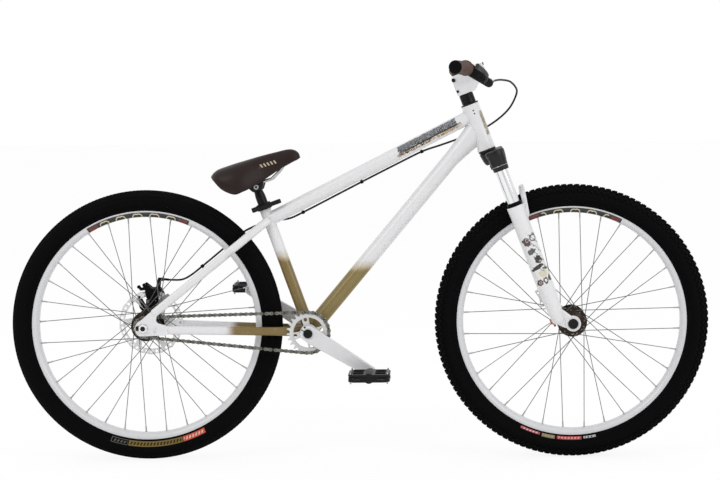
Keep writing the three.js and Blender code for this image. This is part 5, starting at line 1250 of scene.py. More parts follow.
def frame_welds(piece):
    """The beads where the main tubes meet."""
    head = cylinder_hit(on_head_tube(0), UP_HEAD, HEAD_END_RADIUS)
    seat = cylinder_hit(on_seat_tube(0), UP_SEAT, SEAT_RADIUS)
    shell = cylinder_hit(BB_POINT, ACROSS, SHELL_RADIUS)
    down = DOWN_END - DOWN_START
    top = TOP_END - TOP_START
    deep = (DOWN_RADIUS + DOWN_ABOVE, DOWN_RADIUS + DOWN_BELOW)
    weld_bead(piece, tube_seam(TOP_END, -top, TOP_RADIUS, head), 1.7)
    weld_bead(piece, tube_seam(DOWN_END, -down, DOWN_RADIUS, head, deep), 1.7)
    weld_bead(piece, tube_seam(DOWN_START, down, DOWN_RADIUS, shell), 1.6)
    weld_bead(piece, tube_seam(TOP_START, top, SEAT_RADIUS - 0.1, seat), 1.5)
    weld_bead(piece, tube_seam(BB_POINT, UP_SEAT, SEAT_RADIUS, shell), 1.5)


def headset():
    """The two cups on the frame, and the spacer under the stem."""
    for name, node, outline in (
        ("headset_cup_lower", "headset_lower_cup",
         [(17.4, -5.9), (21.4, -5.9), (22, -5.3), (22, -0.7), (21.6, -0.3), (17.4, -0.3)]),
        ("headset_cup_upper", "headset_upper_cup",
         [(17.6, 117.3), (21.6, 117.3), (22, 117.7), (22, 119.6), (21, 120.7), (17.6, 120.7)]),
    ):
        piece = Piece(STEERING).turned(outline, 64, along="Z", closed=True)
        piece.done(name, "frame", [SATIN_BLACK], node)
    piece = Piece(STEERING).turned(
        [(14.4, 121), (17, 121), (17.5, 121.5), (17.5, 132.8), (17.1, 133.1), (17.5, 133.4),
         (17.5, 144.9), (17, 145.4), (14.4, 145.4)], 64, along="Z", closed=True)
    piece.done("headset_spacers", "steering", [POST_BLACK], "headset_spacer")


def bb_cups():
    """A bottom bracket cup on each side, with a ring of ribs to turn it by."""
    outline = [(9.7, 34.3), (19, 34.3), (22, 34.9), (22, 41.5), (21, 42.3), (16, 42.3), (15.5, 40.9),
               (9.7, 40.9)]
    for side, word in SIDES:
        piece = Piece(SHELL).turned(outline, 64, closed=True, side=side)
        for x, z in around(12, 21.8):
            piece.turned([(1.5, 36), (1.5, 42)], 8, (x, 0, z), side=side)
        piece.done(f"bb_cup_{word}", "frame", [SATIN_BLACK], f"bottom_bracket_cup_{word}")


def seat_collar():
    """A split ring with two ears, and the pin that draws them together."""
    piece = Piece(SEAT)
    bore = SEAT_RADIUS + 0.2
    turn, gap = math.radians(144), math.radians(168)
    outline = [(-31, -9), (-31, -0.9), (-14, -0.9), (-14, 0.9), (-31, 0.9), (-31, 9), (-15.6, 9),
               *arc(0, 0, 18, turn, -turn, 32), (-15.6, -9)]
    piece.plate(outline, 2, 14, [circle(0, 0, bore, 40)], 0.8, "top")
    ring = [(bore, 0), (17.6, 0), (18, 0.4), (18, 15.6), (17.6, 16), (bore, 16)]
    piece.skin([[(r * x, r * y, z) for r, z in ring] for x, y in arc(0, 0, 1, -gap, gap, 48)])
    piece.dress(1).tube([(-24, -9.2, 8), (-24, 9.4, 8)], 3.0, 20)
    piece.turned([(0, 9), (5.2, 9), (5.6, 9.5), (5.6, 13), (5, 13.6), (0, 13.6)], 24, (-24, 0, 8))
    piece.done("seat_collar", "frame", [SATIN_BLACK, STEEL], "seat_clamp_collar")


def rear_axle_and_nuts():
    """A rod with a flat stop in each dropout, and a nut and washer on each end."""
    piece = Piece(REAR)
    half = [(6, 81.2), (4.6, 82.5), (2.6, 83.2), (0, 83.4)]
    piece.turned([(r, -y) for r, y in half[::-1]] + half, 32)
    for side, _ in SIDES:
        piece.plate(box_outline(-16.6, -8.6, -4.3, 4.3, 1), side * 67.6, side * 73.6)
    piece.done("rear_axle_rod", "frame", [LEVER_BLACK], "rear_axle")
    hexagon = rounded(circle(0, 0, 11, 6, math.pi / 6), 1.5, 2)
    washer = [(6.1, 74.3), (10.4, 74.3), (10.8, 74.7), (10.8, 75.6), (10.4, 76), (6.1, 76)]
    for side, word in SIDES:
        piece = Piece(REAR)
        piece.plate(hexagon, side * 76, side * 82.3, [circle(0, 0, 6.05, 24)], 0.9)
        piece.dress(1).turned(washer, 40, closed=True, side=side)
        piece.done(f"rear_nut_{word}", "frame", [DISC_STEEL, STEEL], f"rear_axle_nut_{word}")


def brake_bracket():
    """The plate and foot that carry the caliper, with its two bolts."""
    piece = Piece(REAR)
    outline = rounded([(-13.8, 58.7), (-13.8, 35), (9, 17), (19.5, 17), (19.5, 58.7)], 4)
    piece.plate(outline, 60.7, 67.2, [circle(5, 40, 5, 20)], 0.8)
    foot = rounded([(-14, 20), (2, 24), (55, 56), (55, 66), (46, 70), (-8, 38), (-19, 42), (-26, 56),
                    (-34, 53), (-28, 34)], 6)
    piece.plate(foot, 54.6, 58.6, [circle(20, 44.5, 4.5, 20)], 0.8)
    kidney = rounded([(15.7, 87), (21.7, 92.3), (27.7, 86.3), (33.7, 76), (35.5, 70), (32.9, 62.2),
                      (26, 58.8), (19, 61.3), (24.5, 66), (26, 74), (20, 80)], 3)
    piece.plate(kidney, 53.8, 60.5, (), 1.2)
    for x, z in ((-8, 52), (13, 52)):
        piece.dress(1).bolt((x, 60.7, z), 4.2, 3.6, side=-1)
    piece.done("brake_bracket", "frame", [CALIPER_BLACK, STEEL], "brake_caliper_bracket")


def brake_caliper():
    """Two halves over the disc, the cable's stop, and the knobs and bows of the near side."""
    piece = Piece(REAR)
    near = [(-12.7, 80.4), (-8.6, 90.6), (1.6, 88.6), (10.8, 86.5), (28, 86.5), (24, 78.4),
            (22, 66.2), (0.6, 56), (-4.5, 60.1), (-10.6, 70.2)]
    beyond = [(-12.24, 59.8), (19.6, 58.2), (22.96, 63), (22.96, 79), (17.2, 88.6), (-6.4, 88.6),
              (-12.24, 79)]
    piece.plate(rounded(near, 3), 36.5, 49.8, (), 2.2)
    piece.plate(rounded(beyond, 4), 54.2, 67.5, (), 2.2)
    piece.plate(box_outline(-9, 23, 82.2, 88.5, 3), 49.7, 54.3, (), 0.3)
    piece.turned([(0, 36.4), (9, 36.4), (9, 35.4), (6.5, 34.6), (4, 34.6), (4, 35.6), (0, 35.6)],
                 32, (1, 0, 74))
    for x in (-4.5, 17.5):
        piece.bolt((x, 36.5, 68), 3.6, 3, side=-1)
    piece.tube([(19.4, 50, 86), (20.5, 56, 98), (21.3, 59.75, 106), (21.5, 59.75, 108)],
               [6, 5.4, 5.2, 4.6], 20)
    piece.tube([(18.2, 59.75, 108), (33.2, 59.75, 108)], 4.4, 24)
    for x, z, radius in ((-27.9, 90.6, 4.3), (-14.7, 95.2, 4.2), (-5.5, 87.5, 7.6)):
        piece.turned([(0, 40), (radius * 0.6, 40), (radius * 0.6, 40.8), (radius, 41.2),
                      (radius, 48.4), (radius * 0.85, 49), (0, 49)], 24, (x, 0, z))
    piece.tube([(-27.9, 45, 90.6), (-23, 45, 85), (-8, 45, 87)], [3.4, 4.4, 4.4], 16)
    piece.tube([(-14.7, 45, 95.2), (-13, 45, 86)], 4, 16)
    piece.tube([(-24, 41.5, 60), (-17, 41.5, 45.5), (-11, 41.5, 37), (-2, 42.5, 41), (8, 43, 47),
                (21, 44, 57)], [5.2, 5.6, 4.6, 3.4, 3.2, 3], 16)
    piece.dress(1).turned([(0, 38), (7, 38), (7.6, 38.6), (7.6, 46), (0, 46)], 24, (-20.8, 0, 69.5))
    piece.tube([(-21, 43, 69.5), (-9, 43, 72)], 4, 16)
    grey = rounded([(-5, 31), (20, 46), (50, 66), (44, 74), (18, 56), (-6, 40)], 3)
    piece.dress(2).plate(grey, 46.6, 49, (), 0.8)
    piece.dress(0).turned([(0, 36), (3.2, 36), (3.6, 36.6), (3.6, 44), (0, 44)], 20, (-26.5, 0, 65))
    piece.done("caliper_body", "frame", [CALIPER_BLACK, DISC_STEEL, CALIPER_GREY], "brake_caliper")


def caliper_arm():
    """The arm that the brake's wire pulls, with the wire's clamp at its end."""
    piece = Piece(REAR)
    x, z = 4.2, 75.5
    lean, length = math.radians(131), 26
    end_x, end_z = length * math.cos(lean), length * math.sin(lean)
    shape = [(x + u, z + v) for u, v in two_rounds(end_x, end_z, 9, 4.5)]
    piece.plate(shape, 67.8, 72.8, (), 0.9)
    piece.bolt((x, 72.6, z), 5.5, 2.6)
    piece.dress(1).bolt((x + end_x, 72.7, z + end_z), 3.4, 3)
    piece.done("caliper_swing_arm", "caliper_arm", [CALIPER_BLACK, CALIPER_GREY], "caliper_arm")


# Brake cable: its route along the frame, the points of it that have clips, and its loop
CABLE_RADIUS = 2.45
CLIPS = [4, 6, 7, 12, 14]
FRAME_ROUTE = [
    (291.4, 35.9, 808.3), (268, 34, 799), (241.7, 28, 789), (200, 19, 775), (156.1, 10, 760.4),
    (90, 2, 728.5), (7.5, 0, 687.2), (-138.6, 4, 612.8), (-178, 17, 596), (-212, 33, 592),
    (-240, 42.5, 584), (-270, 47.5, 573.5), (-302, 48, 555), (-341, 54, 522), (-398, 63, 475.5),
    (-428, 66, 452.5), (-450, 66.5, 442), (-474, 62, 441.5), (-494, 59.8, 443.4),
]
LOOP_ROUTE = [
    (328, -181, 929.5), (330.5, -160, 931.5), (340, -128, 934), (354, -92, 934.5), (374, -58, 930),
    (389, -22, 914), (389.5, 2, 898), (375, 22, 868), (351, 33, 843), (319.5, 37.5, 821),
    (292, 36, 808.5),
]


def brake_cable():
    """The cable along the frame with its clips, and the loop that follows the bar."""
    line = smooth_line(FRAME_ROUTE, 10)
    piece = Piece(BIKE).tube(line, CABLE_RADIUS, 14)
    for k in CLIPS:
        spot = Vector(FRAME_ROUTE[k])
        way = (Vector(FRAME_ROUTE[k + 1]) - Vector(FRAME_ROUTE[k - 1])).normalized()
        piece.dress(1).tube([spot - way * 3.4, spot - way * 3, spot + way * 3, spot + way * 3.4],
                            [3.6, 4.4, 4.4, 3.6], 18)
    piece.tube([line[-7], line[-1]], 3.0, 16)
    piece.done("cable_on_frame", "frame", [CABLE_BLACK, PLUG_BLACK], "brake_cable_frame")
    line = smooth_line(LOOP_ROUTE, 10)
    piece = Piece(BIKE).tube(line, CABLE_RADIUS, 14)
    piece.dress(1).tube([line[0], line[7]], 3.1, 16)
    loop = piece.done("cable_loop", None, [CABLE_BLACK, STEEL], "brake_cable_loop")
    line[0] * MM
    line[-1] * MM
    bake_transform(loop)


# Fork
LEG_AHEAD, LEG_OUT = 14.6, 65
WHEEL_AHEAD, WHEEL_DOWN = 45, -471.7
HOOP_TOP, HOOP_LEAN = -112, math.tan(math.radians(10))
KNOB_AT = (2.6, LEG_OUT)


def fork_crown():
    """The crown plate, a socket with its bolts and seam round each leg, and the steerer."""
    piece = Piece(STEERING)
    half = [(0, -6.5), (22, -6.5), (27, -7.6), (33, -10.8), (40, -12.6), (83, -13), (83, -36.5)]
    right = half + [(40 * x, -58.5 + 22 * z) for x, z in arc(0, 0, 1, 0.15 * math.pi, math.pi / 2, 7)]
    left = [(-y, z) for y, z in right[::-1] if y > THIN]
    piece.plate(right + left, -4.4, 33.6, (), 2.4, "front")
    socket = [(15.3, -58.5), (18.6, -58.5), (19.4, -57.6), (19.9, -48), (21, -38), (22.6, -28),
              (23.6, -20), (24, -11), (23.2, -8.5), (21, -7), (9.5, -6.6), (8.8, -7.2), (6.2, -7.2),
              (6.2, -17), (15.3, -17)]
    seam = [(19.95, -47.6), (20.5, -47.2), (20.2, -46.4)]
    for side, _ in SIDES:
        leg = (LEG_AHEAD, side * LEG_OUT, 0)
        piece.dress(0).turned(socket, 48, leg, "Z", closed=True)
        piece.dress(1).turned([(0, -8.6), (6.1, -8.6), (6.1, -15.4), (0, -15.4)], 24, leg, "Z")
        for z, out in ((-24, 22.4), (-46, 19.4)):
            piece.bolt((LEG_AHEAD - out, side * LEG_OUT, z), 3.2, 3, "X", -1)
        piece.dress(2).turned(seam, 48, leg, "Z", closed=True)
    piece.dress(0).turned(
        [(0, -38), (14, -38), (17.4, -33), (19.6, -24), (22, -9), (19, -6.2), (14.3, -6.2),
         (14.3, 194.6), (11.6, 195), (0, 195)], 56, along="Z")
    piece.done("crown", "steering", [CROWN_BLACK, SATIN_BLACK, STEEL], "fork_crown")


def stanchions():
    """A chromed tube on each side, and the rubber wiper round it."""
    tube = [(0, -294), (14.6, -294), (15, -293.6), (15, -13.4), (14.6, -13), (0, -13)]
    wiper = [(15.3, -151.7), (19, -151.7), (19, -148.6), (18.3, -148), (18.9, -147), (18.5, -145),
             (17.4, -142.6), (16, -142), (15.3, -142.6)]
    for side, word in SIDES:
        leg = (LEG_AHEAD, side * LEG_OUT, 0)
        piece = Piece(STEERING).turned(tube, 56, leg, "Z")
        piece.done(f"stanchion_tube_{word}", "steering", [CHROME], f"stanchion_{word}")
        piece = Piece(STEERING).turned(wiper, 56, leg, "Z", closed=True)
        piece.done(f"wiper_{word}", "fork_slider", [PLUG_BLACK], f"fork_seal_{word}")


def fork_leg(piece, side):
    """A sliding leg, its axle boss and the neck between them."""
    piece.turned([(15.6, -156), (15.6, -152), (20.6, -152), (21.4, -152.8), (21.4, -160),
                  (20.5, -176), (20.5, -391.7), (18.6, -420), (16, -451.7), (13, -457), (3.2, -459),
                  (3.2, -440), (0, -440)], 64, (LEG_AHEAD, side * LEG_OUT, 0), "Z")
    boss, bore = (circle(WHEEL_AHEAD, WHEEL_DOWN, *size) for size in ((19, 56), (10.3, 40)))
    piece.plate(boss, side * 55, side * 73, [bore], 1.2)
    neck = rounded([(0.8, -430), (30, -425), (50, -456), (58, -472), (40, -484), (22, -474),
                    (4, -456)], 8)
    piece.plate(neck, side * 57.5, side * 70.5, (), 2.6)


def fork_lowers():
    """Both sliding legs in one casting, with the hoop over the tyre and a tab on one leg."""
    piece = Piece(STEERING)
    web = rounded([(14.6, -196), (34, -192), (41, -181.7), (46.5, -152), (14.6, -152)], 3)
    for side, _ in SIDES:
        fork_leg(piece, side)
        piece.plate(web, side * 44.3, side * 64, (), 2.4)
    outer = bend((62, -181.7), (62, HOOP_TOP), (14.7, HOOP_TOP), 14)
    inner = bend((44, -181.7), (44, HOOP_TOP - 15), (10.4, HOOP_TOP - 15), 14)
    half = outer[::-1] + inner
    made = len(piece.bm.verts)
    piece.plate([(-y, z) for y, z in half[::-1]] + half, 40.6, 53.6, (), 2.6, "front")
    piece.bm.verts.ensure_lookup_table()
    for v in piece.bm.verts[made:]:
        v.co.x += (v.co.z - HOOP_TOP) * HOOP_LEAN
    tab = rounded([(-14.9, -377.7), (14.6, -377.7), (14.6, -421.7), (-14.9, -421.7), (-10, -400)], 4)
    piece.plate(tab, 58, 72, [circle(-8.5, z, 3.2, 16) for z in (-386, -413.5)], 1.2)
    piece.done("lowers", "fork_slider", [LEG_WHITE], "fork_lowers")


def front_axle():
    """A thick rod with a stepped cap on its right end."""
    piece = Piece(FRONT)
    piece.turned([(0, -78.3), (6, -78.3), (6.4, -77.4), (11.6, -77.9), (12.5, -77), (12.5, -73.9),
                  (12, -73.3), (10, -73.3), (10, 72.6), (9.2, 73.3), (0, 73.3)], 48)
    piece.done("front_axle_rod", "fork_slider", [SATIN_BLACK], "front_axle")


def rebound_knob():
    """A ribbed knob under the left leg, on its thin shaft."""
    piece = Piece(STEERING)
    x, y = KNOB_AT
    ribs = []
    for k in range(48):
        radius = 8 if k % 4 < 2 else 7.2
        a = 2 * math.pi * k / 48
        ribs.append((x + radius * math.cos(a), y + radius * math.sin(a)))
    piece.plate(ribs, -472.7, -459.7, (), 0.8, "top")
    piece.turned([(0, -480.7), (2.4, -480.7), (3, -480), (3, -440.6), (0, -440.6)], 20, (x, y, 0),
                 "Z")
    piece.done("rebound_dial", "knob", [KNOB_RED], "rebound_knob")


# Cockpit
def stem():
    """The stem with its clamp, bolts and pins, and the cap on its top."""
    piece = Piece(STEERING)
    outline = rounded([(-19.5, 146), (26, 146), (46, 166), (46, 206), (26, 197), (-17.5, 197)], 5)
    piece.plate(outline, -22, 22, (), 3.0)
    piece.turned([(16, -24), (19.2, -24), (20, -23.2), (20, 23.2), (19.2, 24), (16, 24)], 64,
                 (STEM_REACH, 0, STEM_RISE), closed=True)
    for y in (-16.5, 16.5):
        for x, z in circle(STEM_REACH, STEM_RISE, 19, 2, math.radians(48)):
            piece.turned([(0, -0.5), (3.6, -0.5), (3.6, 0.5), (0, 0.5)], 16, (x, y, z))
    for z, size in ((157.6, 3.2), (187, 4.8)):
        ends = [(-16.5, y, z) for y in (-24.4, -23.9, 23.9, 24.4)]
        piece.dress(1).tube(ends, [size - 0.6, size, size, size - 0.6], 20)
    for y in (-15, 15):
        for z in (172, 200):
            piece.bolt((66.2 - abs(z - STEM_RISE) * 0.12, y, z), 3.6, 2.4, "X")
    piece.dress(2).plate(box_outline(-19.6, -18.9, 149, 195, 0.2), -1, 1, (), 0)
    piece.done("stem_body", "steering", [PART_WHITE, SATIN_BLACK, PLUG_BLACK], "stem")
    piece = Piece(STEERING)
    piece.turned([(0, 197.3), (17, 197.3), (17, 200.3), (16.2, 201.3), (5, 201.3), (4.4, 200.4),
                  (4.4, 198.8), (0, 198.8)], 48, along="Z")
    piece.done("stem_cap", "steering", [SATIN_BLACK], "stem_top_cap")


def handlebar():
    """The bar: a thick middle, and two ends swept back along a straight line."""
    half = [(0, 0, 0), (0, 24, 0), (0, 30, 0), (0, 40, 0), (-1.2, 62, 1.2), (-4, 88, 3.8)]
    half += [tuple(bar_place(y)) for y in (112, 180, 260, 341.6)]
    sizes = [15.9, 15.9, 15.7, 13.6, 11.4, 11.1, 11.1, 11.1, 11.1, 11.1]
    steps = 4
    line = smooth_line([(x, -y, z) for x, y, z in half[:0:-1]] + half, steps)
    widths = sizes[:0:-1] + sizes
    thick = []
    for i in range(len(line)):
        k = min(i // steps, len(widths) - 2)
        thick.append(widths[k] + (widths[k + 1] - widths[k]) * (i / steps - k))
    piece = Piece(COCKPIT).tube(line, thick, 36, across=(1, 0, 0))
    piece.done("bar", "steering", [PART_WHITE], "handlebar")


def grips():
    """On each end of the bar: a flange, a row of ribs and a rounded end."""
    for side, word in SIDES:
        start, end = bar_place(side * 235), bar_place(side * 342)
        way = (end - start).normalized()
        length = (end - start).length
        stations = [(0, 11.4), (0, 18), (0.5, 18.5), (3.6, 18.5), (4.2, 17.6)]
        at = 6.5
        while at < length - 8:
            stations += [(at, 15.0), (at + 0.5, 16.0), (at + 3.2, 16.0), (at + 3.7, 15.0)]
            at += 4.4
        stations += [(length - 6, 15.2), (length - 5.4, 16), (length - 0.5, 16), (length, 15.6)]
        piece = Piece(COCKPIT).skin([across_bar(start, way, *station, 40) for station in stations])
        piece.done(f"grip_cover_{word}", "steering", [GRIP_BROWN], f"grip_{word}")


def across_bar(start, way, along, radius, steps):
    """A ring round the bar's line at a distance along it."""
    side = Vector((0, 0, 1)).cross(way).normalized()
    up = way.cross(side)
    radius = max(radius, THIN)
    return [start + way * along + (side * x + up * z) * radius for x, z in around(steps, 1.0)]


def bar_plugs():
    """A pale ring and a black plug in each end of the bar."""
    outline = [(0, 0), (0, 15.2), (0.4, 15.5), (1.0, 15.5), (1.3, 14.2), (3.0, 14.2), (3.7, 13.4),
               (3.7, 5), (2.9, 4.2), (2.9, 0)]
    for side, word in SIDES:
        start, end = bar_place(side * 342.3), bar_place(side * 346)
        way = (end - start).normalized()
        rings = [across_bar(start, way, *station, 48) for station in outline]
        piece = Piece(COCKPIT).skin(rings[:4])
        piece.dress(1).skin(rings[3:])
        piece.done(f"end_plug_{word}", "steering", [BAR_RING, PLUG_BLACK], f"bar_plug_{word}")


LEVER_PIVOT = (48, -22.5)
BARREL_AT = (60, 0, -5.5)


def lever_bracket():
    """The lever's clamp, two ears with the pivot's pin, and the cable's ringed barrel."""
    piece = Piece(LEVER)
    piece.plate(two_rounds(60, -11, 15, 10), -7.5, 7.5, [circle(0, 0, 11.4, 40)], 2.2)
    ear = [(41.5, -6), *arc(*LEVER_PIVOT, 6.5, math.pi, 2 * math.pi, 12), (54.5, -6)]
    for z in (-15.3, -5.7):
        piece.plate(ear, z, z + 3, (), 0.5, "top")
    piece.dress(1).turned([(0, -15.4), (3.6, -15.4), (3.6, -14), (2.5, -14), (2.5, -2.2), (0, -2.2)],
                          20, (*LEVER_PIVOT, 0), "Z")
    piece.bolt((-13, 0, 5), 3.2, 3, "X", -1)
    piece.dress(2)
    for k in range(3):
        ring = [(0, 7.8), (6.2, 7.8), (6.5, 8.4), (6.5, 12.4), (6.0, 13), (0, 13)]
        piece.turned([(r, y + k * 5.8) for r, y in ring], 24, BARREL_AT)
    piece.turned([(0, 5.5), (4.5, 5.5), (4.5, 25.5), (0, 25.5)], 20, BARREL_AT)
    piece.done("lever_perch", "steering", [LEVER_BLACK, STEEL, CALIPER_GREY], "brake_lever_bracket")


def lever_blade():
    """A curved blade that swells at its tip, on a round eye at the pivot."""
    piece = Piece(LEVER)
    line = smooth_line([(48, -24, -9), (49.2, -29.5, -9), (50.5, -36, -6), (49.6, -48, 1.8),
                        (42, -68, 6.4), (32, -90, 9.3), (14.5, -131, 12.2)], 6)
    sizes = []
    for i in range(len(line) - 1):
        t = i / (len(line) - 1)
        swell = 1.3 * max(0, t - 0.88) / 0.12
        sizes.append((2.6 + swell * 0.8, 6 - 1.2 * math.sin(t * math.pi) + swell * 0.6))
    sizes.append((1.4, 3.6))
    piece.tube(line, sizes, 20, across=(1, 0.2, 0), power=0.8)
    eye, bore = (circle(*LEVER_PIVOT, *size) for size in ((6.5, 32), (2.6, 20)))
    piece.plate(eye, -11.7, -6, [bore], 0.6, "top")
    piece.plate(box_outline(44.6, 51.6, -27, -22, 2), -11.7, -6, (), 0.6, "top")
    piece.done("lever_blade_curved", "brake_lever", [LEVER_BLACK], "brake_lever_blade")


# Drivetrain
def chainring():
    """A toothed plate with four windows and bolt holes, and a raised ring round its middle."""
    piece = Piece(CRANK)
    windows = [
        rounded(arc(0, 0, 37.3, middle - 0.55, middle + 0.55, 12)
                + arc(0, 0, 21.5, middle + 0.42, middle - 0.42, 6), 3, 2)
        for middle in (math.pi / 2 * k for k in range(4))
    ]
    holes = [circle(x, z, 4.5, 20) for x, z in around(4, 33, math.pi / 4)]
    piece.plate(toothed(RING_TEETH, RING_RADIUS), *TOOTH_PLATE,
                [circle(0, 0, 9.8, 40), *windows, *holes], 0.4)
    piece.turned([(37.5, -49.4), (37.5, -50.1), (38.2, -50.6), (44.6, -50.6), (45.4, -50.1),
                  (45.4, -49.4)], 96, closed=True)
    piece.done("chainring_toothed", "crank", [RING_WHITE], "chainring")


def crank_arms():
    """A tapered arm on each side, with a black slot (painted shade of its slit) and a dot in its end
    and a ring at the pedal.
    """
    root = arc(0, 0, 20, math.radians(112), math.radians(248), 4)
    tip = arc(CRANK_LENGTH, 0, 13.5, math.radians(-80), math.radians(80), 12)
    outline = [*tip, (30, 19.4), (8, 20), *root, (8, -20), (30, -19.4)]
    holes = [circle(0, 0, 9.7, 40), circle(CRANK_LENGTH, 0, 7.15, 32)]
    slot, dot = box_outline(-20.4, -9.5, -0.9, 0.9, 0.4), circle(-14.5, 9.5, 2.4, 16)
    ring = [(7.2, 71.8), (9.8, 72.3), (11.4, 72.3), (12, 71.6), (12, 71)]
    for (side, word), where, boss in zip(SIDES, (CRANK, LEFT_CRANK), (49.9, 42.6)):
        piece = Piece(where).plate(outline, side * 57.5, side * 72, holes, 2.4)
        piece.turned([(9.7, boss), (17, boss), (18, boss + 1), (18, 58), (9.7, 58)], 56, closed=True,
                     side=side)
        # The slot is a thin black filler through the arm: painted shade in the slit, not a cut gap.
        piece.dress(1).plate(slot, side * 58, side * 72.12, (), 0)
        piece.plate(dot, side * 70, side * 72.1, (), 0)
        piece.dress(0).turned(ring, 40, (CRANK_LENGTH, 0, 0), closed=True, side=side)
        piece.done(f"arm_{word}", "crank", [PART_WHITE, PLUG_BLACK], f"crank_arm_{word}")


def crank_spindle():
    """The rod through the shell, with a capped bolt in each end."""
    piece = Piece(CRANK)
    piece.turned([(0, -72), (9.4, -72), (9.4, 72), (0, 72)], 40)
    cap = [(0, 72.3), (10.4, 72.3), (11, 72.9), (11, 74.4), (10.4, 75), (4.6, 75), (4.2, 74.2),
           (4.2, 72.6), (0, 72.6)]
    for side, _ in SIDES:
        piece.turned(cap, 48, side=side)
    piece.done("spindle", "crank", [SATIN_BLACK], "crank_spindle")


def pedal_axles():
    """A stepped rod out of each crank arm."""
    outline = [(0, 57.6), (6.8, 57.6), (7, 58), (7, 72.3), (9, 72.4), (9, 75.6), (8.4, 75.8),
               (6, 75.8), (6, 178), (5.4, 178.5), (0, 178.5)]
    for (side, word), where in zip(SIDES, (CRANK, LEFT_CRANK)):
        piece = Piece(where).turned(outline, 32, (CRANK_LENGTH, 0, 0), side=side)
        piece.done(f"pedal_spindle_{word}", "crank", [STEEL], f"pedal_axle_{word}")


def pedals():
    """Platforms of two plates with windows, blocks between them, a sleeve and studs."""
    low, high = -182.5, -87.5
    outline = rounded([(-50, low + 11), (-39, low), (39, low), (50, low + 11), (50, high - 11),
                       (39, high), (-39, high), (-50, high - 11)], 4, 3)
    ends = (-1, 1)
    windows = [
        rounded([(end * 14.5, near), (end * 39, near), (end * 39, away), (end * 14.5, away)], 4, 3)
        for end in ends for near, away in ((-171.5, -137.2), (-132.8, -98.5))
    ]
    blocks = []
    for end in ends:
        blocks += [(end * x, y, 4.4, 5) for x in (16, 44.4) for y in (low + 5.5, high - 5.5)]
        blocks.append((end * 44.6, -135, 5, 7))
    for (side, word), where in zip(SIDES, (RIGHT_PEDAL, LEFT_PEDAL)):
        piece = Piece(where)
        piece.plate(outline, -9.5, -3.2, windows, 1.4, "top")
        piece.plate(outline, 3.2, 9.5, windows, 1.4, "top")
        for x, y, wide, long in blocks:
            shape = box_outline(x - wide, x + wide, y - long, y + long, 1.5)
            piece.plate(shape, -3.4, 3.4, (), 0, "top")
        piece.turned([(6.3, -88), (11.6, -87.6), (12.5, -88.6), (12.5, -180.5), (11.6, -182.4),
                      (9, -182.4), (8.4, -181.2), (0, -181.2), (0, -179), (6.3, -179)], 40)
        piece.dress(1)
        for end in ends:
            for y in (-173, -135, -97):
                piece.turned([(0, -14), (1.5, -14), (2, -13.4), (2, 13.4), (1.5, 14), (0, 14)], 12,
                             (end * 44, y, 0), "Z")
        if side > 0:
            piece.flip()
        piece.done(f"platform_{word}", f"pedal_{word}", [PEDAL_BLACK, STEEL], f"pedal_{word}")


def toward(angle):
    """A step of one in the side view."""
    return Vector((math.cos(angle), math.sin(angle)))


def chain_path():
    """Pitch points of the closed chain in the bike's side view."""
    ring, cog = Vector((CRANK_X, CRANK_Z)), Vector((REAR_X, REAR_Z))
    span = cog - ring
    heading = math.atan2(span.y, span.x)
    flare = math.acos((RING_RADIUS - COG_RADIUS) / span.length)
    first, last = heading - flare, heading + flare
    ring_run = RING_RADIUS * (2 * math.pi - 2 * flare)
    cog_run = COG_RADIUS * 2 * flare
    straight = math.sqrt(span.length ** 2 - (RING_RADIUS - COG_RADIUS) ** 2)
    total = ring_run + cog_run + 2 * straight
    count = 2 * round(total / CHAIN_PITCH / 2)

    def spot(s):
        """Place at a distance round the ring, along a straight, round the cog and back."""
        if s < ring_run:
            return ring + toward(last + s / RING_RADIUS) * RING_RADIUS
        s -= ring_run
        if s < straight:
            way = toward(first)
            return (ring + way * RING_RADIUS).lerp(cog + way * COG_RADIUS, s / straight)
        s -= straight
        if s < cog_run:
            return cog + toward(first + s / COG_RADIUS) * COG_RADIUS
        s -= cog_run
        way = toward(last)
        return (cog + way * COG_RADIUS).lerp(ring + way * RING_RADIUS, s / straight)

    return [spot(total * k / count) for k in range(count)]


def link_outline(a, b):
    """A figure-of-eight link plate between two pins."""
    waist, end = 2.6, 4.2
    way = (b - a).normalized()
    side = Vector((-way.y, way.x))
    points = []
    for centre, turn, to in ((b, 0.0, 1), (a, math.pi, -1)):
        for u, v in arc(0, 0, end, turn - 1.9, turn + 1.9, 8):
            points.append(tuple(centre + way * u + side * v))
        points.append(tuple((a + b) / 2 + side * waist * to))
    return points


def chain():
    """Outer and inner link plates by turns, with a roller and a pin at each joint."""
    piece = Piece(BIKE)
    pins = chain_path()
    for k, pin in enumerate(pins):
        outer = k % 2 == 0
        low, high = (3.45, 4.45) if outer else (2.35, 3.35)
        shape = link_outline(pin, pins[(k + 1) % len(pins)])
        piece.dress(0 if outer else 1)
        for side, _ in SIDES:
            piece.plate(shape, CHAIN_LINE + side * low, CHAIN_LINE + side * high, (), 0.25)
        at = (pin.x, CHAIN_LINE, pin.y)
        piece.dress(1).turned([(0, 2.4), (3.8, 2.4), (3.8, -2.4), (0, -2.4)], 10, at)
        piece.turned([(0, -4.8), (1.4, -4.8), (1.8, -4.5), (1.8, 4.5), (0, 4.8)], 8, at)
    piece.done("chain_links", "frame", [CHAIN_STEEL, CHAIN_DARK], "chain")


# Seat
def seat_post():
    """The post, and the round head that the cradle turns on."""
    piece = Piece(SEAT)
    piece.turned([(11, -200), (12.4, -200), (12.7, -199.6), (12.7, 30), (12.5, 36), (11.6, 42),
                  (10.8, 50), (0, 50)], 48, along="Z")
    piece.turned([(0, -15), (10, -15), (11, -14), (11, 14), (10, 15), (0, 15)], 40,
                 (1.3, 0, 59.8))
    piece.plate([(-9.4, 44), (9.9, 44), (11.2, 58), (-8.6, 58)], -10.5, 10.5, (), 2.5)
    piece.done("post_tube", "seat_post", [POST_BLACK], "seat_post")


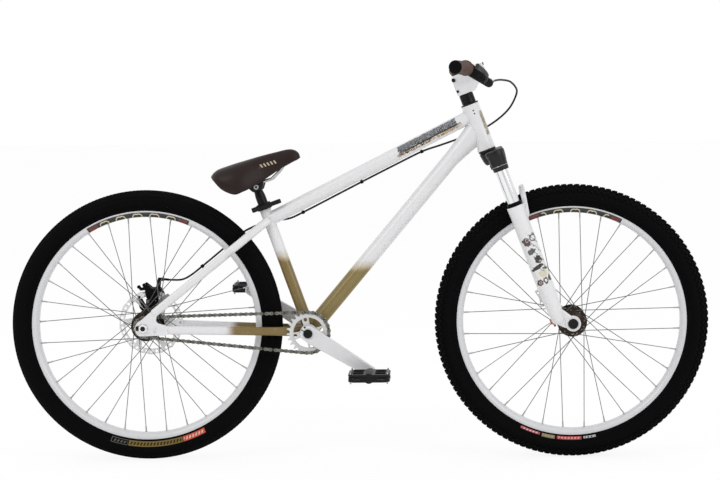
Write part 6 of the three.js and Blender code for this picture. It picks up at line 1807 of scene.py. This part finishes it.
def seat_lever():
    """The bent lever that tightens the collar, on its pin."""
    piece = Piece(SEAT)
    outline = [(-30.5, -15.8), (-29.6, -19.3), (-27, -21.7), (-23.5, -23.4), (-12, -27), (28, -27),
               (42, -26), (46, -24.2), (46.6, -22.6), (45, -21), (12, -21), (-8, -21), (-14, -19),
               (-17.5, -15.8), (-19, -12), (-24, -9.6), (-29, -12)]
    piece.plate(rounded(outline, 2, 3), 2.5, 13.5, (), 1.8, "top")
    piece.dress(1).turned([(0, 2.1), (3.6, 2.1), (4, 2.5), (4, 13.5), (3.6, 13.9), (0, 13.9)], 28,
                          (-24, -15.8, 0), "Z")
    piece.done("quick_lever", "seat_lever", [LEVER_BLACK, STEEL], "seat_clamp_lever")


def saddle_cradle():
    """Two cheeks with their cross bolt and rail studs, a bridge between them."""
    piece = Piece(SADDLE)
    cheek = rounded([(-20, 16.5), (-20, 3), (-11, -11), (11, -11), (20, 3), (20, 16.5)], 4)
    for side, _ in SIDES:
        piece.dress(0).plate(cheek, side * 15.3, side * 28.9, [circle(0, 0, 4.1, 24)], 1.6)
        piece.dress(1).turned([(0, 29), (6.4, 29), (6.4, 30.4), (5.8, 31), (2.8, 31), (2.8, 29.8),
                               (0, 29.8)], 32, side=side)
        piece.dress(0)
        for x in (-13, 13):
            piece.turned([(0, 16.4), (3.6, 16.4), (4, 17.6), (3.4, 18.8), (0, 18.8)], 18,
                         (x, side * 22, 0), "Z")
    piece.plate(box_outline(-15, 15, 11.8, 16.5, 1.5), -15.4, 15.4, (), 0.9)
    piece.tube([(0, -30, 0), (0, 30, 0)], 4, 28)
    piece.done("rail_cradle", "saddle", [SATIN_BLACK, STEEL], "saddle_cradle")


def saddle_rails():
    """One bent rod: along one side, round the nose, and back along the other."""
    half = [(-76, 34, 41.2), (-68, 34, 41.2), (-56, 29, 20), (-44, 23, 10), (-34, 22, 8),
            (34, 22, 8), (46, 19, 11), (64, 12, 21), (76, 10, 30), (89, 8, 41), (95, 5, 43)]
    line = [*half, (96, 0, 43), *[(x, -y, z) for x, y, z in half[::-1]]]
    piece = Piece(SADDLE).tube(smooth_line(line, 6), 3.5, 18)
    piece.done("rails", "saddle", [STEEL], "saddle_rails")


def saddle_base():
    """The plate under the cover, with the nose block and the two rear sockets of the rails."""
    piece = Piece(SADDLE)
    outline = [(-52.6, -34), (-20, -32), (20, -22), (66.75, -14), (66.75, 14), (20, 22), (-20, 32),
               (-52.6, 34)]
    piece.plate(rounded(outline, 8), 53.2, 56, [box_outline(-30, 30, -7, 7, 6)], 0.6, "top")
    nose = [(58, 56), (58, 46.8), (99, 46.8), (99, 51.2), (66, 56)]
    piece.plate(rounded(nose, 2), -8, 8, (), 1.2)
    rear = [(-48, 55), (-48, 50), (-58, 45), (-78, 45), (-78, 49), (-70, 50.5), (-52, 55)]
    for side, _ in SIDES:
        piece.plate(rounded(rear, 1.5, 3), side * 26, side * 39, (), 1.0)
    piece.done("saddle_shell", "saddle", [SHELL_BLACK], "saddle_base")


# Saddle cover, tail to nose: shares of its length, half width, crown height and skirt height
COVER_TAIL, COVER_LENGTH = -99, 221
COVER_HALF, COVER_HIGH = 68, 70
SADDLE_SECTIONS = [
    (0, 0.44, 0.82, 0.74), (0.04, 0.72, 0.91, 0.5), (0.1, 0.9, 0.97, 0.22), (0.21, 1, 0.99, -0.03),
    (0.31, 0.97, 1, -0.02), (0.42, 0.8, 1, 0.04), (0.58, 0.5, 1, 0.2), (0.75, 0.34, 0.98, 0.36),
    (0.9, 0.29, 0.95, 0.47), (0.97, 0.23, 0.85, 0.51), (1, 0.13, 0.72, 0.57),
]


def saddle_cover():
    """The padded cover: a rounded crown, a turned-in lower edge and a hollow underneath."""
    rings = []
    for along, wide, top, skirt in spread_rows(SADDLE_SECTIONS, 5):
        half, high, low = COVER_HALF * wide, COVER_HIGH * top, COVER_HIGH * skirt
        tall = high - low
        drop = tall - min(tall * 0.5, half * 0.7, 16) * 0.2
        wall = min(6, half * 0.35)
        right = []
        for k in range(17):
            a = math.pi / 2 * k / 16
            right.append((half * math.sin(a) ** 0.62, high - drop * (1 - math.cos(a) ** 0.8)))
        right += [
            (half * 0.985, low + 1.2), (half * 0.95, low), (half - wall, low + 0.4),
            (half - wall, min(low + tall * 0.5, high - 10)),
            (half * 0.4, min(high - 13, low + tall * 0.75)),
            (0.0, min(high - 12, low + tall * 0.78)),
        ]
        x = COVER_TAIL + COVER_LENGTH * along
        rings.append([(x, y, z) for y, z in right] + [(x, -y, z) for y, z in right[-2:0:-1]])
    piece = Piece(SADDLE).skin(rings)
    cover = piece.done("saddle_padding", "saddle", [HIDE], "saddle_cover", sharp=60)


def spread_rows(rows, steps):
    """Rows of numbers with smooth rows between them."""
    out = []
    padded = [rows[0], *rows, rows[-1]]
    for a, b, c, d in zip(padded, padded[1:], padded[2:], padded[3:]):
        for k in range(steps):
            t = k / steps
            out.append(tuple(
                (2 * q + (r - p) * t + (2 * p - 5 * q + 4 * r - s) * t * t
                 + (3 * q - p - 3 * r + s) * t ** 3) / 2
                for p, q, r, s in zip(a, b, c, d)
            ))
    out.append(rows[-1])
    return out


for make in (
    frame_piece, headset, bb_cups, seat_collar, rear_axle_and_nuts, brake_bracket, brake_caliper,
    caliper_arm, fork_crown, stanchions, fork_lowers, front_axle, rebound_knob, stem, handlebar,
    grips, bar_plugs, lever_bracket, lever_blade, chainring, crank_arms, crank_spindle, pedal_axles,
    pedals, chain, seat_post, seat_lever, saddle_cradle, saddle_rails, saddle_base, saddle_cover,
    brake_cable,
):
    make()


# The room: a pale floor, a soft studio light, and white all round
def studio_floor():
    """A floor that glows white to the eye and still takes the bike's shadow."""
    mesh = bpy.data.meshes.new("floor")
    reach = 30.0
    corners = [(-reach, -reach, 0), (reach, -reach, 0), (reach, reach, 0), (-reach, reach, 0)]
    mesh.from_pydata(corners, [], [(0, 1, 2, 3)])
    ground = bpy.data.objects.new("floor", mesh)
    bpy.context.scene.collection.objects.link(ground)
    material = bpy.data.materials.new("studio_floor")
    nodes = Nodes(material, "Material Output")
    nodes.tree.nodes.remove(nodes.tree.nodes["Principled BSDF"])
    seen = nodes.node("LightPath", {}) * 0.88
    matt = nodes.node("BsdfDiffuse", {}, (0.95, 0.95, 0.95))
    glow = nodes.node("Emission", {}, Strength=1.0)
    nodes.feed("Surface", nodes.node("MixShader", {}, seen, matt, glow))
    mesh.materials.append(material)


def world_light():
    """White to the eye; a plain even light, dimmer from the camera's side."""
    world = bpy.data.worlds.new("studio")
    bpy.context.scene.world = world
    nodes = Nodes(world, "Background")
    way = nodes.node("TexCoord", {})
    from_camera = (-0.42, -0.9, -0.05)
    side = nodes.node("VectorMath", {"operation": "DOT_PRODUCT"}, way, from_camera, out=1)
    smooth = {"interpolation_type": "SMOOTHSTEP"}
    light = nodes.node("MapRange", smooth, side, 0.72, 0.96, 0.95, 0.05)
    nodes.feed("Color", (1, 1, 1))
    nodes.feed("Strength", light.most(nodes.node("LightPath", {})))


def soft_lamp(name, at, target, size, power):
    """A round lamp turned to a point."""
    lamp = bpy.data.lights.new(name, "AREA")
    lamp.shape = "DISK"
    lamp.size = size
    lamp.energy = power
    stand = bpy.data.objects.new(name, lamp)
    stand.location = at
    way = Vector(target) - Vector(at)
    stand.rotation_euler = way.to_track_quat("-Z", "Y").to_euler()
    bpy.context.scene.collection.objects.link(stand)


bpy.context.scene.view_settings.view_transform = "Standard"
studio_floor()
world_light()
soft_lamp("lamp_left", (-3.2, -3.4, 3.4), (0, 0, 0.5), 2.2, 56)
soft_lamp("lamp_right", (3.4, -2.8, 2.6), (0, 0, 0.5), 2.0, 36)
